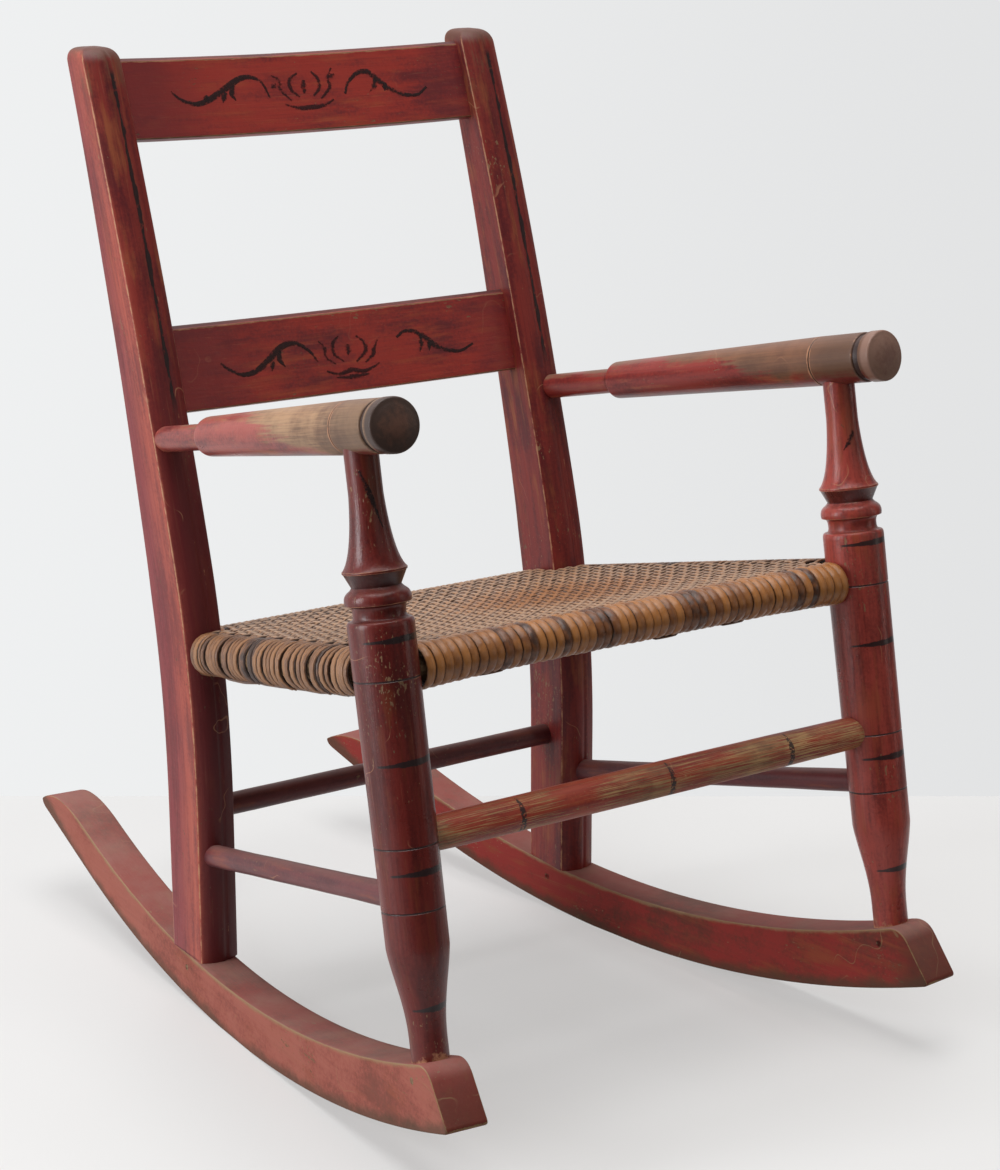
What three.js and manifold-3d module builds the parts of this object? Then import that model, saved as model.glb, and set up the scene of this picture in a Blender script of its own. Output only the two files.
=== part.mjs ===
// A child's slat-back rocking chair with a woven seat.
//
// Two splayed rockers carry two bent, crowned back posts and two turned front posts. Turned
// arms, two bowed slats, four stretchers and four seat rails join the posts by round and flat
// tenons, and the seat is woven round its rails. Pegs lock the feet and the top slat.
//
// Lengths are millimetres. The chair faces -Y and stands on z = 0. Its left side, as its
// sitter has it, is +X. The origin is on the floor, at the middle of its length and width.
import * as THREE from 'three';
import { mergeVertices } from 'three/addons/utils/BufferGeometryUtils.js';
import Module from 'manifold-3d';

const wasm = await Module();
wasm.setup();

// Driving dimensions

const fit = {
  clearance: 0.3,
  tenonDepth: 11,
  overrun: 40
};

const rocker = {
  thickness: 27,
  halfLength: 303,
  depth: 32,
  soleRadius: 820,
  soleLowest: -22,
  soleFlat: 48,
  topRadius: 774,
  topLowest: -5,
  toeRake: 25,
  toeRound: 11,
  toeHeelRound: 3,
  tail: 81,
  tailRound: 7,
  tipRound: 79,
  tipCorner: 28,
  tipRise: 4,
  edge: 1.2
};

const backPost = {
  inset: 30.7,
  width: 27.6,
  frontY: 30.8,
  footDepth: 37,
  seatDepth: 39,
  topDepth: 22,
  seatZ: 270,
  crown: 4.5,
  rearEdge: 2.5,
  bendZ: 135,
  bendRadius: 640,
  bendAngle: THREE.MathUtils.degToRad(14.6),
  upperRadius: 3000,
  height: 613.8,
  dome: 9.5,
  tenonWidth: 10,
  tenonLength: 22,
  tenonDepth: 18
};

const frontPost = {
  x: 177.5,
  footSetback: 44.5,
  lean: THREE.MathUtils.degToRad(10.75),
  footDiameter: 22,
  ankle: 13,
  swellDiameter: 36.5,
  swell: 66,
  shoulderDiameter: 38.3,
  shoulder: 249,
  shoulderRound: 3.6,
  neckDiameter: 30.2,
  neckRise: 6.6,
  beadDiameter: 38.6,
  beadEdgeDiameter: 37.2,
  beadFootRise: 6.8,
  beadRise: 3.6,
  waistDiameter: 28.4,
  waistRise: 5.5,
  collarDiameter: 37,
  collarRise: 8,
  collarWidth: 1.2,
  flareRise: 42,
  shaftDiameter: 19.8,
  tenonDiameter: 14,
  footTenonDepth: 18
};

const arm = {
  postZ: 428.6,
  postInset: 1.15,
  overhang: 44.7,
  rearOutset: 5,
  rearZ: 373.6,
  domeDepth: 3,
  rimDiameter: 31.5,
  rimWidth: 9.3,
  rimRound: 1.5,
  grooveDiameter: 28.2,
  grooveWidth: 5,
  ringDiameter: 31,
  ring: 53,
  shoulderDiameter: 24.8,
  shoulderRound: 3.5,
  dowelDiameter: 16.5,
  dowelLength: 70
};

const upperSlat = { drop: 7, height: 51, setback: 6.5 };
const lowerSlat = { drop: 173.5, height: 53.9, setback: 9 };
const slat = {
  thickness: 8,
  bow: 7.4,
  edge: 1,
  tenon: 9
};

const sideStretcher = {
  rearOutset: 2.8,
  rearZ: 105.5,
  frontZ: 166,
  diameter: 14,
  endDiameter: 15,
  tenonDiameter: 14
};
const frontStretcher = { z: 199.6, diameter: 21.4, endDiameter: 20, tenonDiameter: 17 };
const backStretcher = { z: 130, setback: 20, diameter: 14.5, endDiameter: 14.5, tenonDiameter: 14 };

const seat = {
  frontZ: 292.5,
  rearZ: 236,
  railFrontDiameter: 19,
  railDiameter: 16.6,
  railTenonDiameter: 13,
  railLand: 1.2,
  railTaper: 14,
  wrap: 4.8,
  sideRailInset: 1.3,
  dish: 4.5
};

const peg = {
  diameter: 4.4,
  footDrop: 10,
  slatInset: 4.8,
  cover: 3.5
};

const facets = {
  turnedSegments: 20,
  rungSegments: 16,
  pegSegments: 10,
  curveSegments: 5,
  soleSegments: 10,
  bowSegments: 12,
  crownSegments: 6,
  bendSegments: 6,
  upperSegments: 5,
  domeSegments: 4,
  rollSegments: 4,
  seatSegments: 8
};

// How the foot of a front post swells into its barrel: places and radii of the two middle
// handles of the curve, between ankle and swell
const ankleShares = [0.4, 0];
const calfShares = [0.7, 0.77];
// The same for the flare from the collar up into the shaft
const flareShares = [0.12, 0.52];
const flareTopShares = [0.48, 0.87];
// Width and rise of the ring of points in the middle of the dome on an arm's front end
const domeShares = [0.5, 0.25];

const finishes = {
  red: new THREE.MeshStandardMaterial({ color: 0x8e3b36, roughness: 0.5, metalness: 0 }),
  dark: new THREE.MeshStandardMaterial({ color: 0x5a2124, roughness: 0.5, metalness: 0 }),
  worn: new THREE.MeshStandardMaterial({ color: 0x94795c, roughness: 0.55, metalness: 0 }),
  bare: new THREE.MeshStandardMaterial({ color: 0xb08a5c, roughness: 0.7, metalness: 0 }),
  seat: new THREE.MeshStandardMaterial({ color: 0x8a6238, roughness: 0.65, metalness: 0 })
};

// Solids

function toSolid(geometry) {
  const bare = geometry.clone();
  bare.deleteAttribute('normal');
  bare.deleteAttribute('uv');
  const merged = mergeVertices(bare);
  const triangles = [];
  for (let i = 0; i < merged.index.count; i += 3) {
    const [a, b, c] = [0, 1, 2].map((k) => merged.index.getX(i + k));
    if (a !== b && b !== c && c !== a) {
      triangles.push(a, b, c);
    }
  }
  return new wasm.Manifold(new wasm.Mesh({
    numProp: 3,
    vertProperties: new Float32Array(merged.attributes.position.array),
    triVerts: new Uint32Array(triangles)
  }));
}

function toGeometry(solid) {
  const { vertProperties, triVerts } = solid.getMesh();
  const indexed = new THREE.BufferGeometry();
  indexed.setAttribute('position', new THREE.BufferAttribute(vertProperties, 3));
  indexed.setIndex(new THREE.BufferAttribute(triVerts, 1));
  const geometry = indexed.toNonIndexed();
  geometry.computeVertexNormals();
  return geometry;
}

// A shape with the frame that it stands in. Pieces cut and join each other through their frames.
class Piece {
  constructor(geometry, frame = new THREE.Matrix4()) {
    this.geometry = geometry;
    this.frame = frame;
    this.solid = toSolid(geometry);
  }

  bring(tool) {
    const move = this.frame.clone().invert().multiply(tool.frame);
    return toSolid(tool.geometry.clone().applyMatrix4(move));
  }

  cut(...tools) {
    for (const tool of tools) {
      this.solid = this.solid.subtract(this.bring(tool));
    }
    return this;
  }

  join(...tools) {
    for (const tool of tools) {
      this.solid = this.solid.add(this.bring(tool));
    }
    return this;
  }

  mesh(name, material) {
    const mesh = new THREE.Mesh(toGeometry(this.solid), material);
    mesh.name = name;
    this.frame.decompose(mesh.position, mesh.quaternion, mesh.scale);
    return mesh;
  }
}

// Turns a half profile, points of radius and height, round the frame's Z. A positive grow gives
// the hole that the turning fits.
function turned(profile, segments, grow = 0) {
  const heights = profile.map((point) => point.y);
  const [low, high] = [Math.min(...heights), Math.max(...heights)];
  const ends = (y) => (y === high ? grow : 0) - (y === low ? grow : 0);
  const points = profile.map((point) => (
    new THREE.Vector2(point.x > 0 ? point.x + grow : 0, point.y + ends(point.y))
  ));
  return new THREE.LatheGeometry(points, segments).rotateX(Math.PI / 2);
}

function cylinder(diameter, low, high, segments, grow = 0) {
  const radius = diameter / 2;
  const profile = [[0, low], [radius, low], [radius, high], [0, high]];
  return turned(profile.map(([x, y]) => new THREE.Vector2(x, y)), segments, grow);
}

function block(x, y, z) {
  const size = [x, y, z].map(([low, high]) => high - low);
  const middle = [x, y, z].map(([low, high]) => (low + high) / 2);
  return new THREE.BoxGeometry(...size).translate(...middle);
}

// Joins sections of equally many points, the first one lowest, into a closed body.
function loft(sections) {
  const count = sections[0].length;
  const position = sections.flat().flatMap((point) => point.toArray());
  const index = [];
  for (let s = 0; s + 1 < sections.length; s++) {
    for (let i = 0; i < count; i++) {
      const [a, b] = [s * count + i, s * count + (i + 1) % count];
      index.push(a, b, b + count, a, b + count, a + count);
    }
  }
  const last = (sections.length - 1) * count;
  for (let i = 1; i + 1 < count; i++) {
    index.push(0, i + 1, i, last, last + i, last + i + 1);
  }
  const geometry = new THREE.BufferGeometry();
  geometry.setAttribute('position', new THREE.Float32BufferAttribute(position, 3));
  geometry.setIndex(index);
  return geometry;
}

// Extrudes an outline drawn in Y and Z along X, about x = 0.
function board(points, thickness, edge) {
  const geometry = new THREE.ExtrudeGeometry(new THREE.Shape(points), {
    depth: thickness - 2 * edge,
    bevelEnabled: edge > 0,
    bevelThickness: edge,
    bevelSize: edge,
    bevelOffset: -edge,
    bevelSegments: 1
  });
  geometry.translate(0, 0, edge - thickness / 2);
  const axes = new THREE.Matrix4().makeBasis(
    new THREE.Vector3(0, 1, 0), new THREE.Vector3(0, 0, 1), new THREE.Vector3(1, 0, 0));
  return geometry.applyMatrix4(axes);
}

// Places

const vector = (x, y, z) => new THREE.Vector3(x, y, z);
const point2 = (x, y) => new THREE.Vector2(x, y);
const steps = (from, to, count) => (
  Array.from({ length: count + 1 }, (_, i) => THREE.MathUtils.lerp(from, to, i / count))
);
const rounded = (from, corner, to) => (
  new THREE.QuadraticBezierCurve(from, corner, to).getPoints(facets.curveSegments)
);

// A frame at one point whose Z runs towards another
function along(from, to) {
  const direction = to.clone().sub(from).normalize();
  const turn = new THREE.Quaternion().setFromUnitVectors(vector(0, 0, 1), direction);
  return new THREE.Matrix4().compose(from, turn, vector(1, 1, 1));
}

function sinker(radius, lowest, centre) {
  return (y) => centre - Math.sqrt(radius ** 2 - (y - lowest) ** 2);
}

// Rockers. Each is a board whose middle plane passes under its back post and its front post.

const backPostX = frontPost.x - backPost.inset;
const backFootY = backPost.frontY + backPost.footDepth / 2;
const frontFootY = frontPost.footSetback - rocker.halfLength;
const splay = Math.atan2(frontPost.x - backPostX, backFootY - frontFootY);
const rockerX = backPostX + backFootY * Math.tan(splay);
const soleCentre = Math.sqrt(rocker.soleRadius ** 2 - (rocker.soleFlat / 2) ** 2);
const soleArc = sinker(rocker.soleRadius, rocker.soleLowest, soleCentre);
const topZ = sinker(rocker.topRadius, rocker.topLowest, rocker.depth + rocker.topRadius);

// The sole is one arc that runs out straight along the tail
function soleZ(y) {
  const tailY = rocker.halfLength - rocker.tail;
  if (y <= tailY) {
    return soleArc(y);
  }
  const slope = (tailY - rocker.soleLowest) / (soleCentre - soleArc(tailY));
  return soleArc(tailY) + slope * (y - tailY);
}

function rockerFrame(side) {
  const turn = new THREE.Quaternion().setFromAxisAngle(vector(0, 0, 1), side * splay);
  return new THREE.Matrix4().compose(vector(side * rockerX, 0, 0), turn, vector(1, 1, 1));
}

function rockerOutline() {
  const { halfLength, soleFlat, soleLowest, toeRake, toeRound, toeHeelRound } = rocker;
  const { tail, tailRound, tipRound, tipCorner, tipRise } = rocker;
  const sole = (y) => point2(y, soleZ(y));
  const top = (y) => point2(y, topZ(y));
  const heel = sole(-halfLength);
  const toe = top(toeRake - halfLength);
  const rake = heel.clone().sub(toe).normalize();
  const tip = sole(halfLength).add(point2(0, tipRise));
  const tipTop = top(halfLength - tipRound);
  const topFall = (tipTop.x - rocker.topLowest) / (rocker.depth + rocker.topRadius - tipTop.y);
  const crown = tipTop.clone().add(point2(1, topFall).multiplyScalar(tipRound - tipCorner));
  const sweep = steps(soleLowest + soleFlat / 2, halfLength - tail, facets.soleSegments).map(sole);
  const crest = steps(tipTop.x, toe.x + toeRound, 2 * facets.soleSegments).map(top);
  const front = steps(toeHeelRound - halfLength, soleLowest - soleFlat / 2, facets.soleSegments).map(sole);
  return [
    ...sweep,
    ...rounded(sole(halfLength - tailRound), sole(halfLength), tip).slice(0, -1),
    ...rounded(tip, crown, tipTop).slice(0, -1),
    ...crest,
    ...rounded(top(toe.x + toeRound), toe, toe.clone().addScaledVector(rake, toeRound)).slice(1),
    ...rounded(heel.clone().addScaledVector(rake, -toeHeelRound), heel, front[0]).slice(0, -1),
    ...front
  ];
}

// Everything below a rocker's top edge, which a foot is scribed to
function underRocker(side) {
  const reach = rocker.halfLength + fit.overrun;
  const edge = steps(-reach, reach, 2 * facets.soleSegments).map((y) => point2(y, topZ(y) + fit.clearance));
  const below = [point2(reach, -reach), point2(-reach, -reach)];
  return new Piece(board([...edge, ...below].reverse(), backPost.width + fit.overrun, 0), rockerFrame(side));
}

// Back posts: bent above the seat, crowned in front, thinned upwards and domed on top

function backPostLine(z) {
  const { bendZ, bendRadius, bendAngle, upperRadius } = backPost;
  if (z <= bendZ) {
    return 0;
  }
  const turn = Math.sin(bendAngle);
  const bendTop = bendZ + bendRadius * turn;
  if (z <= bendTop) {
    return bendRadius - Math.sqrt(bendRadius ** 2 - (z - bendZ) ** 2);
  }
  const rise = turn * upperRadius + z - bendTop;
  const start = bendRadius * (1 - Math.cos(bendAngle));
  return start + upperRadius * Math.cos(bendAngle) - Math.sqrt(upperRadius ** 2 - rise ** 2);
}

const backPostFace = (z) => backPost.frontY + backPostLine(z);

function backPostDepth(z) {
  const { footDepth, seatDepth, topDepth, seatZ, height } = backPost;
  if (z < seatZ) {
    return THREE.MathUtils.lerp(footDepth, seatDepth, Math.max(z, 0) / seatZ);
  }
  return THREE.MathUtils.lerp(seatDepth, topDepth, (z - seatZ) / (height - seatZ));
}

function backPostSection(z, shrink, grow) {
  const { width, crown, rearEdge } = backPost;
  const half = width / 2;
  const depth = backPostDepth(z);
  const front = steps(-1, 1, facets.crownSegments).map((share) => (
    point2(share * (half + grow), -crown * (1 - share ** 2) - grow)
  ));
  const outline = [
    ...front,
    point2(half + grow, depth - rearEdge + grow),
    point2(half - rearEdge + grow, depth + grow),
    point2(rearEdge - half - grow, depth + grow),
    point2(-half - grow, depth - rearEdge + grow)
  ];
  return outline.map(({ x, y }) => (
    vector(x * shrink, backPostLine(z) + depth / 2 + (y - depth / 2) * shrink, z)
  ));
}

function backPostBody(grow = 0) {
  const { bendZ, bendRadius, bendAngle, height, dome } = backPost;
  const bendTop = bendZ + bendRadius * Math.sin(bendAngle);
  const levels = [
    0,
    ...steps(bendZ, bendTop, facets.bendSegments),
    ...steps(bendTop, height - dome, facets.upperSegments).slice(1)
  ];
  const crest = steps(0, Math.PI / 2, facets.domeSegments + 1).slice(1, -1);
  return loft([
    ...levels.map((z) => backPostSection(z, 1, grow)),
    ...crest.map((turn) => (
      backPostSection(height - dome + dome * Math.sin(turn), Math.sqrt(Math.cos(turn)), grow)
    )),
    backPostSection(height, Math.sqrt(Math.cos(crest.at(-1))) / 2, grow)
  ]);
}

const backPostFrame = (side) => (
  new THREE.Matrix4().makeTranslation(side * backPostX, backPost.frontY, 0)
);

function backFootTenon(side, grow = 0) {
  const { tenonWidth, tenonLength, tenonDepth, footDepth } = backPost;
  const top = topZ(backFootY);
  return new Piece(block(
    [-tenonWidth / 2 - grow, tenonWidth / 2 + grow],
    [(footDepth - tenonLength) / 2 - grow, (footDepth + tenonLength) / 2 + grow],
    [top - tenonDepth - grow, top + tenonDepth]
  ), backPostFrame(side));
}

// Front posts, turned and leaning back

const frontFootZ = topZ(frontFootY / Math.cos(splay));
const postRise = vector(0, Math.sin(frontPost.lean), Math.cos(frontPost.lean));
const frontFoot = (side) => vector(side * frontPost.x, frontFootY, frontFootZ);
const onFrontPost = (side, z) => (
  frontFoot(side).addScaledVector(postRise, (z - frontFootZ) / Math.cos(frontPost.lean))
);
const frontPostFrame = (side) => along(frontFoot(side), frontFoot(side).add(postRise));

// Points of the curve between two ends, whose handles stand at shares of the way across
function swept(from, to, fromShares, toShares) {
  const handle = ([upShare, outShare]) => point2(
    THREE.MathUtils.lerp(from.x, to.x, outShare), THREE.MathUtils.lerp(from.y, to.y, upShare));
  return new THREE.CubicBezierCurve(from, handle(fromShares), handle(toShares), to)
    .getPoints(facets.curveSegments);
}

function frontPostProfile(top) {
  const p = frontPost;
  const at = (diameter, height) => point2(diameter / 2, height);
  const shoulderTop = p.shoulder + p.shoulderRound;
  const neck = p.shoulder + p.neckRise;
  const beadFoot = neck + p.beadFootRise;
  const bead = beadFoot + p.beadRise;
  const waist = bead + p.waistRise;
  const collar = waist + p.collarRise;
  const flare = collar + p.collarWidth;
  return [
    point2(0, -fit.overrun),
    at(p.footDiameter, -fit.overrun),
    ...swept(at(p.footDiameter, p.ankle), at(p.swellDiameter, p.swell), ankleShares, calfShares),
    ...rounded(at(p.shoulderDiameter, p.shoulder), at(p.shoulderDiameter, shoulderTop),
      at(p.shoulderDiameter - p.shoulderRound, shoulderTop)),
    ...rounded(at(p.neckDiameter, neck - p.shoulderRound / 2),
      at(2 * p.neckDiameter - p.beadEdgeDiameter, neck), at(p.beadEdgeDiameter, beadFoot)).slice(1),
    ...rounded(at(p.beadEdgeDiameter, beadFoot),
      at(2 * p.beadDiameter - p.beadEdgeDiameter, bead), at(p.waistDiameter, waist)).slice(1),
    at(p.collarDiameter, collar),
    ...swept(at(p.collarDiameter, flare), at(p.shaftDiameter, flare + p.flareRise),
      flareShares, flareTopShares),
    at(p.shaftDiameter, top),
    point2(0, top)
  ];
}

function frontPostTenon(side, low, high, grow = 0) {
  return new Piece(
    cylinder(frontPost.tenonDiameter, low, high, facets.rungSegments, grow), frontPostFrame(side));
}

// Arms, turned, from a button front end down to a dowel in the back post

const armOnPost = (side) => onFrontPost(side, arm.postZ).sub(vector(side * arm.postInset, 0, 0));
const armRear = (side) => (
  vector(side * (backPostX + arm.rearOutset), backPostFace(arm.rearZ), arm.rearZ)
);
const armFront = (side) => {
  const [post, rear] = [armOnPost(side), armRear(side)];
  return post.addScaledVector(post.clone().sub(rear).normalize(), arm.overhang);
};
const armReach = armFront(1).distanceTo(armRear(1));
const armFrame = (side) => along(armFront(side), armRear(side));
const postTop = onFrontPost(1, arm.postZ).distanceTo(frontFoot(1));

function armProfile() {
  const { domeDepth, rimRound, rimWidth, grooveWidth, ring, shoulderRound } = arm;
  const at = (diameter, reach) => point2(diameter / 2, reach);
  const rim = arm.rimDiameter;
  const rimEnd = domeDepth + rimWidth;
  const grooveEnd = rimEnd + grooveWidth;
  const shoulder = armReach - arm.dowelLength;
  const [domeWidthShare, domeRiseShare] = domeShares;
  const end = armReach + fit.tenonDepth;
  return [
    point2(0, 0),
    at(rim * domeWidthShare, domeDepth * domeRiseShare),
    at(rim - 2 * rimRound, domeDepth),
    at(rim, domeDepth + rimRound),
    at(rim, rimEnd - rimRound),
    at(arm.grooveDiameter, rimEnd),
    at(arm.grooveDiameter, grooveEnd - rimRound),
    at(arm.ringDiameter, grooveEnd),
    at(arm.ringDiameter, ring),
    ...rounded(at(arm.shoulderDiameter, shoulder - shoulderRound),
      at(arm.shoulderDiameter, shoulder), at(arm.dowelDiameter, shoulder)),
    at(arm.dowelDiameter, end),
    point2(0, end)
  ];
}

const armBody = (side, grow = 0) => (
  new Piece(turned(armProfile(), facets.turnedSegments, grow), armFrame(side))
);

// Slats, bowed back between the back posts and parallel to their faces

const slatHalf = backPostX - backPost.width / 2 + slat.tenon;

const slatTop = ({ drop }) => backPost.height - drop;
const slatBottom = (place) => slatTop(place) - place.height;

function slatFrame(place) {
  const [foot, head] = [slatBottom(place), slatTop(place)].map((z) => (
    vector(0, backPostFace(z) + place.setback, z)));
  return along(foot, head);
}

function slatBody(place, grow = 0) {
  const { bow, thickness } = slat;
  const edge = grow > 0 ? 0 : slat.edge;
  const height = place.height / slatLean(place);
  const half = slatHalf + grow;
  const face = (y) => (share) => point2(share * half, bow * (1 - share ** 2) + y);
  const shares = steps(-1, 1, facets.bowSegments);
  const outline = [
    ...shares.map(face(-grow)),
    ...shares.toReversed().map(face(thickness + grow))
  ];
  const geometry = new THREE.ExtrudeGeometry(new THREE.Shape(outline), {
    depth: height + 2 * grow - 2 * edge,
    bevelEnabled: edge > 0,
    bevelThickness: edge,
    bevelSize: edge,
    bevelOffset: -edge,
    bevelSegments: 1
  });
  return new Piece(geometry.translate(0, 0, edge - grow), slatFrame(place));
}

function slatLean(place) {
  return new THREE.Vector3(0, 0, 1).transformDirection(slatFrame(place)).z;
}

// Rungs: stretchers and rails between two surface points, with a tenon past each

function rung(from, to, size, grow = 0) {
  const length = from.distanceTo(to);
  const { diameter, endDiameter, tenonDiameter, land, taper = 0 } = size;
  const at = (width, height) => point2(width / 2, height);
  const half = [
    point2(0, -fit.tenonDepth),
    at(tenonDiameter, -fit.tenonDepth),
    at(endDiameter, 0)
  ];
  if (taper > 0) {
    half.push(at(endDiameter, land), at(diameter, taper));
  }
  const profile = [
    ...half,
    at(diameter, length / 2),
    ...half.toReversed().map((point) => point2(point.x, length - point.y))
  ];
  return new Piece(turned(profile, facets.rungSegments, grow), along(from, to));
}

const postSurface = (side, z, towards) => {
  const axis = onFrontPost(side, z);
  const way = towards.clone().sub(axis).normalize();
  return axis.addScaledVector(way, frontPost.swellDiameter / 2);
};

function sideStretcherAt(side, grow = 0) {
  const { rearOutset, rearZ, frontZ } = sideStretcher;
  const rear = vector(side * (backPostX + rearOutset), backPostFace(rearZ), rearZ);
  return rung(postSurface(side, frontZ, rear), rear, sideStretcher, grow);
}

// The middles of both ends of a bar that crosses from one front post to the other
const betweenPosts = (z) => (
  [-1, 1].map((side) => postSurface(side, z, onFrontPost(-side, z)))
);

const frontStretcherAt = (grow = 0) => (
  rung(...betweenPosts(frontStretcher.z), frontStretcher, grow)
);

const backInnerX = backPostX - backPost.width / 2;

function backStretcherAt(grow = 0) {
  const y = backPostFace(backStretcher.z) + backStretcher.setback;
  const end = (side) => vector(side * backInnerX, y, backStretcher.z);
  return rung(end(-1), end(1), backStretcher, grow);
}

// Seat rails, all in one plane that falls towards the back

const frontRailY = onFrontPost(1, seat.frontZ).y;
const rearRailY = backPostFace(seat.rearZ) + backPostDepth(seat.rearZ) / 2;
const seatFall = (seat.rearZ - seat.frontZ) / (rearRailY - frontRailY);
const seatPitch = Math.atan(seatFall);
const seatLength = (rearRailY - frontRailY) / Math.cos(seatPitch);

const railSize = (diameter) => ({
  diameter,
  endDiameter: seat.railTenonDiameter,
  tenonDiameter: seat.railTenonDiameter,
  land: seat.railLand,
  taper: seat.railTaper
});

const frontRailAt = (grow = 0) => (
  rung(...betweenPosts(seat.frontZ), railSize(seat.railFrontDiameter), grow)
);

function rearRailAt(grow = 0) {
  const end = (side) => vector(side * backInnerX, rearRailY, seat.rearZ);
  return rung(end(-1), end(1), railSize(seat.railDiameter), grow);
}

const sideRailRearX = backPostX - seat.sideRailInset;

function sideRailAt(side, grow = 0) {
  const front = onFrontPost(side, seat.frontZ);
  const rear = vector(side * sideRailRearX, rearRailY, seat.rearZ);
  const reach = (backPostFace(seat.rearZ) - front.y) / (rear.y - front.y);
  const from = postSurface(side, seat.frontZ, rear);
  return rung(from, front.lerp(rear, reach), railSize(seat.railDiameter), grow);
}

// Woven seat: a sleeve that rolls round the four rails, with an upper and a lower web drawn
// tight and dished between them

const seatFrame = (() => {
  const turn = new THREE.Quaternion().setFromAxisAngle(vector(1, 0, 0), seatPitch);
  return new THREE.Matrix4().compose(vector(0, frontRailY, seat.frontZ), turn, vector(1, 1, 1));
})();

function seatPillow(inset) {
  const frontRoll = seat.railFrontDiameter / 2 + seat.wrap - inset;
  const rearRoll = seat.railDiameter / 2 + seat.wrap - inset;
  const roll = (v) => THREE.MathUtils.clamp(
    THREE.MathUtils.lerp(frontRoll, rearRoll, v / seatLength), rearRoll, frontRoll);
  const railX = (v) => (
    THREE.MathUtils.lerp(frontPost.x, sideRailRearX, v / seatLength)
  );
  const turns = steps(0, Math.PI / 2, facets.rollSegments);
  const lines = [
    ...turns.map((turn) => ({ v: -frontRoll * Math.cos(turn), lift: Math.sin(turn) })),
    ...steps(0, seatLength, facets.seatSegments).slice(1, -1).map((v) => ({ v, lift: 1 })),
    ...turns.toReversed().map((turn) => ({
      v: seatLength + rearRoll * Math.cos(turn),
      lift: Math.sin(turn)
    }))
  ];
  const places = [
    ...turns.map((turn) => ({ inner: -1, outer: -Math.cos(turn), lift: Math.sin(turn) })),
    ...steps(-1, 1, facets.seatSegments).slice(1, -1).map((inner) => ({ inner, outer: 0, lift: 1 })),
    ...turns.toReversed().map((turn) => ({ inner: 1, outer: Math.cos(turn), lift: Math.sin(turn) }))
  ];
  const hollow = (line, place) => {
    const across = 1 - place.inner ** 2;
    const deep = THREE.MathUtils.clamp(line.v / seatLength, 0, 1);
    return seat.dish * across * 4 * deep * (1 - deep);
  };
  const position = [];
  const index = [];
  for (const face of [1, -1]) {
    for (const line of lines) {
      for (const place of places) {
        const radius = roll(line.v);
        const height = radius * Math.min(line.lift, place.lift) - hollow(line, place);
        position.push(place.inner * railX(line.v) + place.outer * radius, line.v, face * height);
      }
    }
  }
  const wide = places.length;
  const under = lines.length * wide;
  for (let j = 0; j + 1 < lines.length; j++) {
    for (let i = 0; i + 1 < wide; i++) {
      const a = j * wide + i;
      index.push(a, a + 1, a + 1 + wide, a, a + 1 + wide, a + wide);
      const b = a + under;
      index.push(b, b + 1 + wide, b + 1, b, b + wide, b + 1 + wide);
    }
  }
  const geometry = new THREE.BufferGeometry();
  geometry.setAttribute('position', new THREE.Float32BufferAttribute(position, 3));
  geometry.setIndex(index);
  return new Piece(geometry, seatFrame);
}

function frontCorner(side) {
  const reach = frontPost.beadDiameter / 2 + fit.clearance;
  const inner = [-side * reach, side * fit.overrun].sort((a, b) => a - b);
  const height = (seat.frontZ - frontFootZ) / Math.cos(frontPost.lean);
  return new Piece(block(
    inner, [-fit.overrun, reach], [height - fit.overrun, height + fit.overrun]
  ), frontPostFrame(side));
}

// Pegs through the feet, across the rockers, and through the ends of the top slat

const rockerAt = (side, y) => vector(side * (rockerX - y * Math.tan(splay)), y, 0);
const rockerAcross = (side) => vector(1, 0, 0).transformDirection(rockerFrame(side));

function footPegAt(side, y, grow = 0) {
  const middle = rockerAt(side, y);
  middle.z = topZ(y / Math.cos(splay)) - peg.footDrop;
  const across = rockerAcross(side);
  const half = rocker.thickness / 2;
  const from = middle.clone().addScaledVector(across, -half);
  const pin = cylinder(peg.diameter, 0, rocker.thickness, facets.pegSegments, grow);
  return new Piece(pin, along(from, middle.addScaledVector(across, half)));
}

function slatPegAt(side, grow = 0) {
  const frame = slatFrame(upperSlat);
  const rise = upperSlat.height / slatLean(upperSlat) / 2;
  const x = side * (backInnerX + peg.slatInset);
  const front = vector(x, peg.cover - upperSlat.setback, rise).applyMatrix4(frame);
  const back = vector(x, backPost.topDepth, rise).applyMatrix4(frame);
  const middleZ = slatTop(upperSlat) - upperSlat.height / 2;
  const deep = backPostDepth(middleZ) * slatLean(upperSlat) - peg.cover;
  return new Piece(cylinder(peg.diameter, 0, deep, facets.pegSegments, grow), along(front, back));
}

// The chair

const chair = new THREE.Group();
const gap = fit.clearance;
const sides = { right: -1, left: 1 };
const feet = {
  front: frontFootY - peg.footDrop * Math.tan(frontPost.lean),
  back: backFootY
};

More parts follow.
